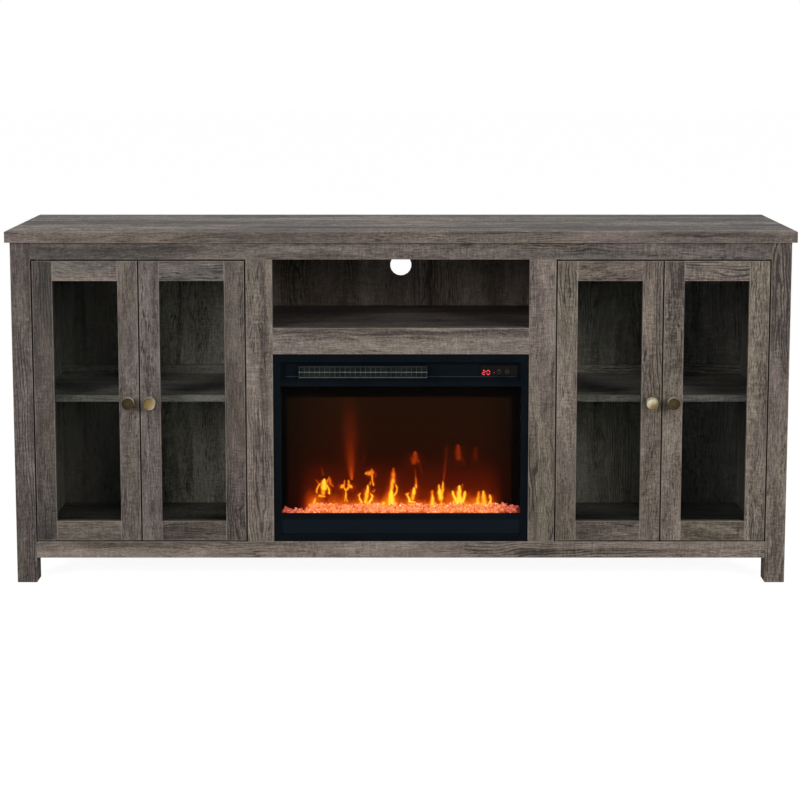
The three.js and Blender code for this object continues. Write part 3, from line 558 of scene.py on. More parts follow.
@dataclass(frozen=True)
class Oak(Finish):
    """Weathered oak laminate on one board.

    Attributes:
        name: The material's name.
        low: The board's lowest corner.
        high: The board's highest corner.
        grain: The way that the grain runs.
        seed: Which stretch of the printed sheet the board was cut from.
        tone: How much lighter the board is than the middle shade.
        cool: How strong its slate patches are, and how little it leans to yellow.
        contrast: How far its light and dark parts differ.
        streaks: How strong its dark streaks are.
        upper: How much lighter, and more contrasty, its upper face is made than its edges, as painted light
            from above.
    """

    name: str
    low: Vector
    high: Vector
    grain: Axis
    seed: int
    tone: float
    cool: float
    contrast: float
    streaks: float = 1.0
    upper: tuple[float, float] = (0.0, 0.0)

    def surface(self, g: Graph, at: Socket) -> dict[str, Any]:
        """Build the laminate with its grain, saw marks, a painted highlight along its edges and, where asked,
        painted light on its upper face.

        Args:
            g: The material's graph.
            at: The Object coordinates.

        Returns:
            The Principled shader's inputs.
        """
        rng = random.Random(self.seed)
        shift = tuple(rng.uniform(2, 60) for _ in range(3))
        turn = {"Vector": at, "Rotation": self.grain.turn(), "Location": shift}
        board = g.add("Mapping", turn).outputs[0]
        tone: Any = self.tone
        contrast: Any = self.contrast
        # Painted light: faces that look up are made lighter and more contrasty, standing in for light from
        # above.
        if any(self.upper):
            facing = g.parts(g.add("TexCoord").outputs["Normal"])[2]
            above = g.span(facing, 0.5, 0.9)
            tone = g.blend(above, self.upper[0], tone)
            contrast = g.blend(above, self.upper[1], contrast)
        wood = g.place(
            "weathered_oak", Vector=board, Tone=tone, Cool=self.cool, Streaks=self.streaks, Contrast=contrast
        )
        # Painted highlight: the board's edges and corners are made lighter.
        edge_light = g.place("edge_wear", Vector=at, Low=self.low, High=self.high, Reach=2.2 * MM)["Mask"]
        return {
            "Base Color": g.mix(g.times(edge_light, 0.3), wood["Color"], srgb(158, 146, 134)),
            "Roughness": wood["Roughness"],
            "Normal": g.bump(wood["Height"], 0.35, 0.5 * MM),
            "Specular IOR Level": 0.18,
        }


@dataclass(frozen=True)
class BackSheet(Finish):
    """Hardboard with the oak print on its front and its bare brown side behind.

    Attributes:
        name: The material's name.
        low: The sheet's lowest corner.
        seed: Which stretch of the print it was cut from.
        strips: Where each strip starts, its tone, coolness and contrast. The strips are painted shade and
            light: lighter behind the left inner door, darker elsewhere, darkest in the media bay, and bluer
            at the right end.
        blur: Half the width over which one strip turns into the next.
    """

    name: str
    low: Vector
    seed: int
    strips: Sequence[tuple[float, float, float, float]] = (
        (-0.9, -0.1, 0.7, 0.5), (-0.592, 0.03, 0.4, 1.2), (-0.33, -0.15, 0.0, 0.85),
        (0.33, -0.08, 0.4, 0.75), (0.592, -0.08, 2.1, 0.8),
    )
    blur: float = 4 * MM

    def surface(self, g: Graph, at: Socket) -> dict[str, Any]:
        """Build the printed face and the bare back of the sheet.

        Args:
            g: The material's graph.
            at: The Object coordinates.

        Returns:
            The Principled shader's inputs.
        """
        turn = {"Vector": at, "Rotation": Axis.Z.turn(), "Location": (self.seed, 3.7, 9.1)}
        board = g.add("Mapping", turn).outputs[0]
        across, depth, _ = g.parts(at)
        # Painted shade and light: the strips lighten the sheet behind the left inner door and darken it
        # elsewhere, most in the media bay.
        looks: list[Any] = list(self.strips[0][1:])
        for before, after in zip(self.strips, self.strips[1:]):
            past = g.span(across, after[0] - self.blur, after[0] + self.blur)
            looks = [g.blend(past, b - a, look) for look, a, b in zip(looks, before[1:], after[1:])]
        tone, cool, contrast = looks
        wood = g.place("weathered_oak", Vector=board, Tone=tone, Cool=cool, Streaks=1.0, Contrast=contrast)
        fibres = g.noise(at, 620.0, 4.0, 0.7)
        fleck = g.blend(g.noise(at, 7.0, 3.0), 0.5, g.times(fibres, 0.6))
        browns = ((0.3, srgb(112, 84, 58)), (0.55, srgb(139, 108, 77)), (0.8, srgb(163, 132, 98)))
        behind = g.span(depth, self.low.y + 0.4 * MM, self.low.y + 0.9 * MM)
        return {
            "Base Color": g.mix(behind, wood["Color"], g.ramp(fleck, browns)),
            "Roughness": g.span(behind, 0.0, 1.0, 0.62, 0.82),
            "Normal": g.bump(g.blend(fibres, 0.5, wood["Height"]), 0.3, 0.4 * MM),
            "Specular IOR Level": 0.12,
        }


@dataclass(frozen=True)
class Glass(Finish):
    """A pane that lets lamps through, with faint smears on it.

    Attributes:
        name: The material's name.
        tint: The glass's colour.
        ior: How strongly it bends and mirrors light.
    """

    name: str
    tint: Colour = (0.762, 0.82, 0.786)
    ior: float = 1.09

    def surface(self, g: Graph, at: Socket) -> dict[str, Any]:
        """Build the pane and its smears.

        Args:
            g: The material's graph.
            at: The Object coordinates.

        Returns:
            The Principled shader's inputs.
        """
        smears = g.place("mottle", Vector=at, Peel=3.0, Smear=9.0)["Smears"]
        rough = g.span(smears, 0.0, 1.0, 0.0, 0.035)
        return {"Roughness": rough, "Base Color": self.tint, "Transmission Weight": 1.0, "IOR": self.ior}

    def lit(self, g: Graph, shader: Socket) -> Socket:
        """Clear the way for the lamps' rays.

        Args:
            g: The material's graph.
            shader: The pane's own shader.

        Returns:
            The shader mixed with a see-through one.
        """
        clear = g.add("BsdfTransparent", {"Color": tuple(c**0.5 for c in self.tint)})
        path = g.add("LightPath").outputs
        lamp = g.math("MAXIMUM", path["Is Shadow Ray"], path["Is Diffuse Ray"])
        return g.add("MixShader", {0: lamp, 1: shader, 2: clear.outputs[0]}).outputs[0]


@dataclass(frozen=True)
class Metal(Finish):
    """Bare or plated metal with turned or brushed tool marks, zinc unless it is given colours.

    Attributes:
        name: The material's name.
        bright: The colour where it is clean.
        tarnished: The colour where it has dulled.
        rough: The clean metal's roughness.
        pitch: How far apart the tool marks are, divided by 2 pi.
    """

    name: str
    bright: Colour = srgb(176, 178, 178)
    tarnished: Colour = srgb(132, 134, 134)
    rough: float = 0.28
    pitch: float = 0.09 * MM

    def surface(self, g: Graph, at: Socket) -> dict[str, Any]:
        """Build the metal with its tool marks and tarnish.

        Args:
            g: The material's graph.
            at: The Object coordinates.

        Returns:
            The Principled shader's inputs.
        """
        marks = g.place("turned_lines", Vector=at, Pitch=self.pitch)
        dull = marks["Tarnish"]
        return {
            "Base Color": g.mix(dull, self.bright, self.tarnished),
            "Roughness": g.span(dull, 0.0, 1.0, self.rough, self.rough + 0.16),
            "Normal": g.bump(marks["Lines"], 0.12, 0.03 * MM),
            "Metallic": 1.0,
        }


@dataclass(frozen=True)
class Coat(Finish):
    """Paint, powder coat or moulded plastic with a fine skin.

    Attributes:
        name: The material's name.
        colour: The coat's colour.
        smear: Its colour where fingers and dust have dulled it.
        rough: Its roughness where it is clean.
        peel: Bumps per metre in its skin.
        depth: How deep those bumps are.
        metallic: How metallic it is.
        gloss: Its specular level.
    """

    name: str
    colour: Colour
    smear: Colour
    rough: float = 0.4
    peel: float = 900.0
    depth: float = 0.05 * MM
    metallic: float = 0.0
    gloss: float = 0.3

    def surface(self, g: Graph, at: Socket) -> dict[str, Any]:
        """Build the coat with its orange peel and smears.

        Args:
            g: The material's graph.
            at: The Object coordinates.

        Returns:
            The Principled shader's inputs.
        """
        skin = g.place("mottle", Vector=at, Peel=self.peel, Smear=16.0)
        smears = skin["Smears"]
        return {
            "Base Color": g.mix(smears, self.colour, self.smear),
            "Roughness": g.span(smears, 0.0, 1.0, self.rough, self.rough + 0.12),
            "Normal": g.bump(skin["Height"], 0.4, self.depth),
            "Metallic": self.metallic,
            "Specular IOR Level": self.gloss,
        }


@dataclass(frozen=True)
class BezelCoat(Coat):
    """The face frame's black coat, with a painted highlight along the crease under the grille, and a lighter
    apron below the glass.

    Attributes:
        crease: The crease's place, from the front to the back and above the floor.
        dust: The colour of the painted highlight along the crease.
        sill: The height of the glass's foot.
        foot: Where the apron below the sill starts, and where it is full.
        edge: How far the apron reaches from the middle, and where it is full.
        apron: The coat's lighter, bluer colour on the apron below the glass.
    """

    crease: tuple[float, float] = (-165.8 * MM, 475.8 * MM)
    dust: Colour = srgb(40, 43, 47)
    sill: float = 148.0 * MM
    foot: tuple[float, float] = (107 * MM, 112 * MM)
    edge: tuple[float, float] = (272 * MM, 268 * MM)
    apron: Colour = srgb(16, 22, 28)

    def surface(self, g: Graph, at: Socket) -> dict[str, Any]:
        """Build the coat, and mix its apron colour and the painted highlight along the crease into it.

        Args:
            g: The material's graph.
            at: The Object coordinates.

        Returns:
            The Principled shader's inputs.
        """
        inputs = super().surface(g, at)
        x, y, z = g.parts(at)
        # Painted highlight: a faint, patchy light line along the crease where the strip's sloped face meets
        # the recess.
        off_y = g.minus(y, self.crease[0])
        off_z = g.minus(z, self.crease[1])
        squares = g.blend(off_y, off_y, g.times(off_z, off_z))
        near = g.span(g.math("SQRT", squares), 1.9 * MM, 0.5 * MM)
        patches = g.span(g.noise(at, 60.0, 3.0), 0.35, 0.6, 0.45, 1.0)
        inner = g.span(g.math("ABSOLUTE", x), *self.edge)
        lower = g.span(z, self.sill, self.sill - 3 * MM)
        panel = g.times(g.times(inner, lower), g.times(g.span(z, *self.foot), 0.8))
        coat = g.mix(panel, inputs["Base Color"], self.apron)
        return inputs | {"Base Color": g.mix(g.times(near, patches), coat, self.dust)}


@dataclass(frozen=True)
class GrilleCoat(Finish):
    """The vent grille's dark satin coat, lighter on the fronts of its middle and lower bars.

    Attributes:
        name: The material's name.
        low: The grille's lowest corner.
        high: The grille's highest corner.
    """

    name: str
    low: Vector
    high: Vector

    def surface(self, g: Graph, at: Socket) -> dict[str, Any]:
        """Build the coat with its lighter middle and lower bars.

        Args:
            g: The material's graph.
            at: The Object coordinates.

        Returns:
            The Principled shader's inputs.
        """
        skin = g.place("mottle", Vector=at, Peel=1100.0, Smear=20.0)
        _, y, z = g.parts(at)
        middle = (self.low.z + self.high.z) / 2
        bar = g.span(g.math("ABSOLUTE", g.minus(z, middle)), 2.6 * MM, 1.4 * MM)
        foot = g.span(z, self.low.z + 3.4 * MM, self.low.z + 2.2 * MM)
        front = g.span(y, self.low.y + 1.4 * MM, self.low.y + 0.3 * MM)
        patches = g.span(g.noise(at, 130.0, 2.0), 0.34, 0.6, 0.5, 1.0)
        bright = g.times(g.math("MAXIMUM", bar, g.times(foot, 0.7)), g.times(front, patches))
        dark = g.mix(skin["Smears"], srgb(30, 34, 34), srgb(42, 46, 45))
        return {
            "Base Color": g.mix(bright, dark, srgb(78, 82, 80)),
            "Roughness": g.span(bright, 0.0, 1.0, 0.46, 0.34),
            "Normal": g.bump(skin["Height"], 0.4, 0.05 * MM),
            "Specular IOR Level": 0.07,
        }


@dataclass(frozen=True)
class KnobBrass(Finish):
    """Antique brass: a darkened face and waist, painted reflection and highlights on its face and rim, and a
    drum side painted light above and dark below.

    Attributes:
        name: The material's name.
        foot: The middle of the knob's foot.
        radius: The knob's radius.
        reach: How far it stands out.
        patina_and_painted_reflection: How dark its face is, from 0 to 1: its darkened finish, and a painted
            reflection of dark surroundings.
        spread: How much that differs over the face.
        painted_highlight_way: The way, across and up, towards which the face is painted lighter and its rim
            gets a painted highlight.
        bright: The brass where it is clean, which is also the colour of the painted highlights.
        worn: The brass where it is half dulled.
        dull: The brass where it is darkest.
        pitch: How far apart its turning marks are, divided by 2 pi.
    """

    name: str
    foot: Point
    radius: float
    reach: float
    patina_and_painted_reflection: float
    spread: float
    painted_highlight_way: tuple[float, float]
    bright: Colour = srgb(222, 214, 186)
    worn: Colour = srgb(138, 119, 78)
    dull: Colour = srgb(49, 41, 30)
    pitch: float = 0.12 * MM

    def surface(self, g: Graph, at: Socket) -> dict[str, Any]:
        """Build the brass with its darkened finish, painted reflection, highlights and shade, and turning
        marks.

        Args:
            g: The material's graph.
            at: The Object coordinates.

        Returns:
            The Principled shader's inputs.
        """
        own = g.vector("SUBTRACT", at, self.foot)
        marks = g.place("turned_lines", Vector=own, Pitch=self.pitch)
        x, y, z = g.parts(own)
        across, up = (g.math("DIVIDE", part, self.radius) for part in (x, z))
        share = g.math("DIVIDE", g.vector("LENGTH", g.vector("MULTIPLY", own, (1, 0, 1))), self.radius)
        cloud = g.blend(g.noise(at, 130.0, 3.0), 0.3, -0.15)
        # Painted reflection and highlight: the face is lighter towards the given way and darker away from it,
        # and the rim gets a painted highlight crescent on that side.
        way = g.blend(across, self.painted_highlight_way[0], g.times(up, self.painted_highlight_way[1]))
        most, least = self.patina_and_painted_reflection + self.spread / 2, self.patina_and_painted_reflection - self.spread / 2
        worn = g.span(g.plus(way, g.times(cloud, 2.0)), -0.9, 0.9, most, least)
        rim = g.times(g.span(share, 0.84, 0.88), g.span(way, -0.3, 0.6))
        worn = g.blend(rim, -0.5 * (1.15 - self.patina_and_painted_reflection), worn)
        along = g.math("DIVIDE", y, -self.reach)
        front = g.span(along, 0.9, 0.94)
        behind = g.minus(1.0, front)
        groove = g.times(g.span(g.math("ABSOLUTE", g.minus(share, 0.825)), 0.04, 0.01), 0.9)
        heart = g.times(g.span(share, 0.07, 0.0), 0.9)
        face = g.math("MAXIMUM", g.math("MAXIMUM", worn, heart), groove)
        face = g.times(face, g.times(front, g.span(share, 0.99, 0.96)))
        # Painted light and shade: the drum's side is lighter at its top and darker below.
        side = g.times(g.span(g.plus(up, cloud), 0.6, -0.4, 0.06, 0.8), behind)
        neck = g.times(g.span(share, 0.7, 0.5, 0.0, 0.8), g.span(along, 0.5, 0.4))
        dark = g.math("MAXIMUM", g.math("MAXIMUM", face, neck), side)
        dark = g.math("MAXIMUM", dark, g.times(marks["Tarnish"], 0.2))
        rolled = g.times(g.span(share, 0.9, 0.95), behind)
        return {
            "Metallic": g.blend(rolled, -0.7, 1.0),
            "Base Color": g.ramp(dark, ((0.0, self.bright), (0.5, self.worn), (1.0, self.dull))),
            "Roughness": g.span(dark, 0.0, 1.0, 0.34, 0.44),
            "Normal": g.bump(marks["Lines"], 0.1, 0.02 * MM),
        }


@dataclass(frozen=True)
class Lamp(Finish):
    """A lit mark on the display, a little brighter at its heart.

    Attributes:
        name: The material's name.
        colour: The light's colour.
        strength: The light's strength.
    """

    name: str
    colour: Colour
    strength: float

    def surface(self, g: Graph, at: Socket) -> dict[str, Any]:
        """Build the glowing mark.

        Args:
            g: The material's graph.
            at: The Object coordinates.

        Returns:
            The Principled shader's inputs.
        """
        flicker = g.noise(at, 1500.0, 1.0)
        dim = tuple(c * 0.72 for c in self.colour)
        return {
            "Emission Color": g.mix(g.span(flicker, 0.3, 0.6), dim, self.colour),
            "Base Color": g.mix(flicker, srgb(30, 6, 6), srgb(46, 10, 10)),
            "Emission Strength": self.strength,
        }


@dataclass(frozen=True)
class Stroke:
    """One tongue of flame on the screen, in millimetres across and above the floor.

    Attributes:
        base: Where it starts.
        tip: Where it ends, which is its thin end.
        width: How wide it is.
        glow: How hot it is, 1 for yellow.
        bend: How far its middle is pushed aside.
        fade: How much it dims towards its base, or below 0 towards its tip.
    """

    base: tuple[float, float]
    tip: tuple[float, float]
    width: float
    glow: float
    bend: float = 0.0
    fade: float = 0.0

    def inputs(self) -> dict[str, Any]:
        """Turn the stroke into what the flame_stroke group takes.

        Returns:
            The group's inputs, in metres.
        """
        start, end = ((x * MM, 0, z * MM) for x, z in (self.base, self.tip))
        sizes = {"Width": self.width * MM, "Glow": self.glow, "Bend": self.bend * MM, "Fade": self.fade}
        return {"Base": start, "Tip": end} | sizes


FLAMES = tuple(
    Stroke(*row)
    for row in (
        ((-178.1, 205), (-177.3, 227.5), 12.0, 1.06), ((-180.4, 190), (-178.1, 216), 7.6, 0.86, 0, 0.3),
        ((-188, 186.7), (-174.6, 184.9), 5.6, 0.66), ((-187, 214.1), (-195.8, 198.2), 3.2, 0.74, -1),
        ((-195.4, 199), (-194, 193.4), 3.4, 0.6), ((-171.4, 211), (-164.2, 191.6), 4.0, 0.84, 1),
        ((-166.5, 195), (-164.6, 191), 4.4, 0.8), ((-190.5, 214.1), (-196.7, 226.5), 2.4, 0.32),
        ((-162.6, 214.1), (-166.6, 233), 7.0, 0.4), ((-164.9, 217.6), (-155.5, 208.8), 4.2, 0.34),
        ((-171, 218.5), (-166.8, 230), 2.8, 0.56), ((-180, 237), (-182, 249), 4.6, 0.17),
        ((-182.4, 248), (-184, 256), 3.6, 0.12), ((-203, 169), (-197, 182.5), 3.8, 0.4),
        ((-212, 165), (-190, 168), 5.0, 0.38), ((-127.8, 182.3), (-126.9, 203), 3.6, 0.64),
        ((-131, 174), (-127.8, 185), 1.8, 0.42), ((-124.6, 174), (-127.4, 185), 1.8, 0.42),
        ((-138.4, 207.6), (-130.4, 213.6), 6.2, 0.72), ((-114.4, 207.6), (-122.4, 213.6), 6.8, 0.76),
        ((-133.5, 208), (-127, 199.5), 4.2, 0.72), ((-119.5, 208), (-126, 199.5), 4.8, 0.76),
        ((-131.4, 212), (-130.4, 224), 3.4, 0.5), ((-121.8, 212), (-121.4, 225), 4.0, 0.6),
        ((-119, 410), (-114.3, 224), 30.0, 0.27, 0, 0.9),
        ((-116.4, 290), (-113.4, 224.5), 12.0, 0.44, 0, 0.95),
        ((-81.8, 173), (-76.6, 212), 8.0, 0.92, -0.6, 0.3), ((-90.6, 171), (-97.6, 190), 3.0, 0.7, 1.5),
        ((-98, 187.5), (-93.4, 193.6), 3.6, 0.66), ((-74.2, 170.5), (-66, 187), 3.0, 0.7, -1.5),
        ((-65.8, 186), (-71.2, 192.8), 3.4, 0.66), ((-66.5, 242.4), (-84, 239), 9.6, 0.62),
        ((-66.6, 234), (-66.9, 250.5), 3.8, 0.62), ((-67, 237), (-63.4, 211.5), 3.6, 0.64, -0.8),
        ((-63.8, 217), (-63.3, 210.6), 4.0, 0.7), ((-71.3, 213.5), (-71, 221), 3.4, 0.5),
        ((-59.4, 232), (-56.8, 241), 2.8, 0.24), ((-65.4, 197.2), (-58.4, 202.2), 3.2, 0.3),
        ((-86.4, 268), (-81.6, 286), 3.0, 0.12), ((-21.8, 168), (-22.6, 204), 11.4, 1.06),
        ((-24.6, 188), (-18, 228), 8.0, 0.8), ((-18.6, 219), (-17.2, 254), 9.4, 0.74, 0, -0.5),
        ((-14.8, 187), (-8.4, 207), 3.4, 0.74, -1.2), ((-8.4, 204), (-12.6, 215), 3.0, 0.66),
        ((-42, 167), (-37, 173), 6.2, 0.4), ((20.8, 174), (13.2, 191), 4.6, 0.78, -0.8),
        ((13.4, 189.6), (19.8, 194.4), 3.6, 0.68), ((20.7, 173.2), (35, 171.8), 3.0, 0.6),
        ((27, 180), (30.8, 203), 6.4, 0.8, 0, 0.35), ((30.4, 193), (30.6, 207), 7.0, 0.98),
        ((35.8, 206.2), (35.1, 217), 4.8, 0.72), ((35.4, 214), (34.5, 232), 3.4, 0.38),
        ((34, 228), (33, 252), 3.4, 0.15), ((31, 269), (34, 292), 16.0, 0.3),
        ((35, 277), (42.4, 266), 5.0, 0.27), ((31, 276), (19, 273), 5.0, 0.24),
        ((41.9, 268), (50, 236), 2.8, 0.12), ((73.8, 164), (73.6, 189), 8.0, 0.84, 0, 0.4),
        ((73.4, 183), (72.6, 200.5), 6.4, 0.42), ((92.6, 181), (89.8, 203), 10.4, 1.04, 0, 0.1),
        ((94.2, 163), (93, 186), 6.0, 0.36), ((90, 190), (88.4, 214), 5.0, 0.74),
        ((95, 187), (98.3, 221), 5.4, 0.74), ((106, 302), (98.6, 219), 6.6, 0.17, 0, 0.5),
        ((135.6, 161), (135.6, 190), 12.6, 1.1), ((135.6, 182), (135.7, 212), 9.0, 0.9),
        ((131, 169), (119.4, 198), 5.0, 0.8, 0.8), ((120.9, 191), (119.4, 198.6), 5.4, 0.8),
        ((140.2, 169), (150.2, 198), 5.0, 0.8, -0.8), ((148, 190), (149.4, 198), 5.8, 0.82),
        ((120.3, 165), (123.4, 178), 3.0, 0.48), ((142, 209.5), (143.2, 214.5), 2.8, 0.3),
        ((133.6, 276), (131.4, 309), 14.0, 0.24), ((141, 282), (148.4, 257), 2.8, 0.12),
        ((172, 274), (172.6, 303), 9.0, 0.12), ((166, 274), (170, 282), 3.0, 0.09),
        ((178, 169), (180.8, 198), 6.4, 0.5), ((193, 171), (191, 199), 9.2, 0.92, 0, 0.4),
        ((187, 167), (207, 163), 4.4, 0.56), ((203.8, 167), (210, 183), 4.2, 0.74, -1),
        ((208.2, 182), (204.6, 189), 4.6, 0.78),
    )
)


@dataclass(frozen=True)
class FlameLight(Finish):
    """The lit screen: a black border, a brown glow, a haze over the chips and the flames.

    Attributes:
        name: The material's name.
        lit_low: The lit part's lowest corner.
        lit_high: The lit part's highest corner.
        bed: The height of the chips' top at the screen.
        strength: The strength of the light.
        wobble: How far the flames' outlines stray.
    """

    name: str
    lit_low: Point
    lit_high: Point
    bed: float
    strength: float = 1.15
    wobble: float = 5.5 * MM

    def flames(self, g: Graph, at: Socket) -> Socket:
        """Build the tongues of flame.

        Args:
            g: The material's graph.
            at: The Object coordinates.

        Returns:
            How strongly they glow.
        """
        lick = g.add("TexNoise", {"Vector": at, "Scale": 85.0, "Detail": 2.0}).outputs["Color"]
        stray = g.vector("SCALE", g.vector("SUBTRACT", lick, (0.5, 0.5, 0.5)), scale=self.wobble)
        soft = g.vector("MULTIPLY", g.vector("ADD", at, stray), (1, 0, 1))
        glow: Any = 0.0
        for stroke in FLAMES:
            tongue = g.place("flame_stroke", Vector=soft, **stroke.inputs())
            glow = g.math("MAXIMUM", glow, tongue["Glow"])
        return glow

    def surface(self, g: Graph, at: Socket) -> dict[str, Any]:
        """Build the screen's light from its flames, their haze and the glow behind them.

        Args:
            g: The material's graph.
            at: The Object coordinates.

        Returns:
            The Principled shader's inputs.
        """
        glow = self.flames(g, at)
        x, _, height = g.parts(at)
        from_middle = g.math("ABSOLUTE", x)
        gusts = g.noise(g.vector("MULTIPLY", at, (26, 1, 9)), 1.0, 3.0, 0.6)
        top = g.blend(g.minus(gusts, 0.3), 0.12, self.bed + 8 * MM)
        haze = g.span(height, self.bed - 16 * MM, top, 0.64, 0.0)
        reach = g.span(height, self.bed - 20 * MM, self.bed + 120 * MM, 0.34, 0.0)
        drift = g.times(g.plus(haze, reach), g.span(from_middle, 0.243, 0.195))
        sparkle = g.blend(g.stretched(at, (230, 1, 120), 3), 0.7, 0.56)
        heat = g.blend(drift, 0.6, g.times(glow, sparkle))
        fires = (
            (0.0, (0.0, 0.0, 0.0)), (0.12, srgb(70, 14, 0)), (0.26, srgb(140, 40, 2)),
            (0.42, srgb(205, 80, 8)), (0.6, srgb(245, 136, 22)), (0.8, srgb(255, 184, 34)),
            (1.0, srgb(255, 230, 62)),
        )
        browns = ((0.0, srgb(46, 4, 0)), (0.4, srgb(35, 7, 0)), (1.0, srgb(29, 12, 2)))
        rise = g.span(height, self.bed, self.lit_high[2])
        edge = g.span(from_middle, 0.262, 0.17, 0.6, 0.0)
        brown = g.mix(edge, g.ramp(rise, browns), srgb(9, 7, 4))
        light = g.mix(1.0, brown, g.ramp(heat, fires), "ADD")
        over = g.vector("SUBTRACT", at, self.lit_high)
        past = g.parts(g.vector("MAXIMUM", g.vector("SUBTRACT", self.lit_low, at), over))
        border = g.span(g.math("MAXIMUM", past[0], past[2]), -2.5 * MM, 1.5 * MM)
        return {
            "Emission Color": g.mix(border, light, srgb(2, 1, 1)),
            "Base Color": g.mix(g.noise(at, 300.0), srgb(5, 4, 4), srgb(9, 7, 6)),
            "Emission Strength": self.strength,
            "Roughness": 0.5,
            "Specular IOR Level": 0.005,
        }


@dataclass(frozen=True)
class Chips(Finish):
    """Glass chips lit from below.

    Attributes:
        name: The material's name.
        half: Half the heap's width.
        strength: The strength of their light.
    """

    name: str
    half: float
    strength: float = 0.88

    def surface(self, g: Graph, at: Socket) -> dict[str, Any]:
        """Build the chips' light and their glassy skin.

        Args:
            g: The material's graph.
            at: The Object coordinates.

        Returns:
            The Principled shader's inputs.
        """
        chip = g.add("Attribute", attribute_name="chip").outputs["Fac"]
        glow = g.place("chip_glow", Vector=at, Chip=chip, Half=self.half)
        return {
            "Emission Color": glow["Color"],
            "Base Color": g.mix(0.6, glow["Color"], srgb(120, 60, 48)),
            "Roughness": g.span(glow["Tone"], 0.2, 0.9, 0.3, 0.12),
            "Emission Strength": self.strength,
        }


# Modelling moves


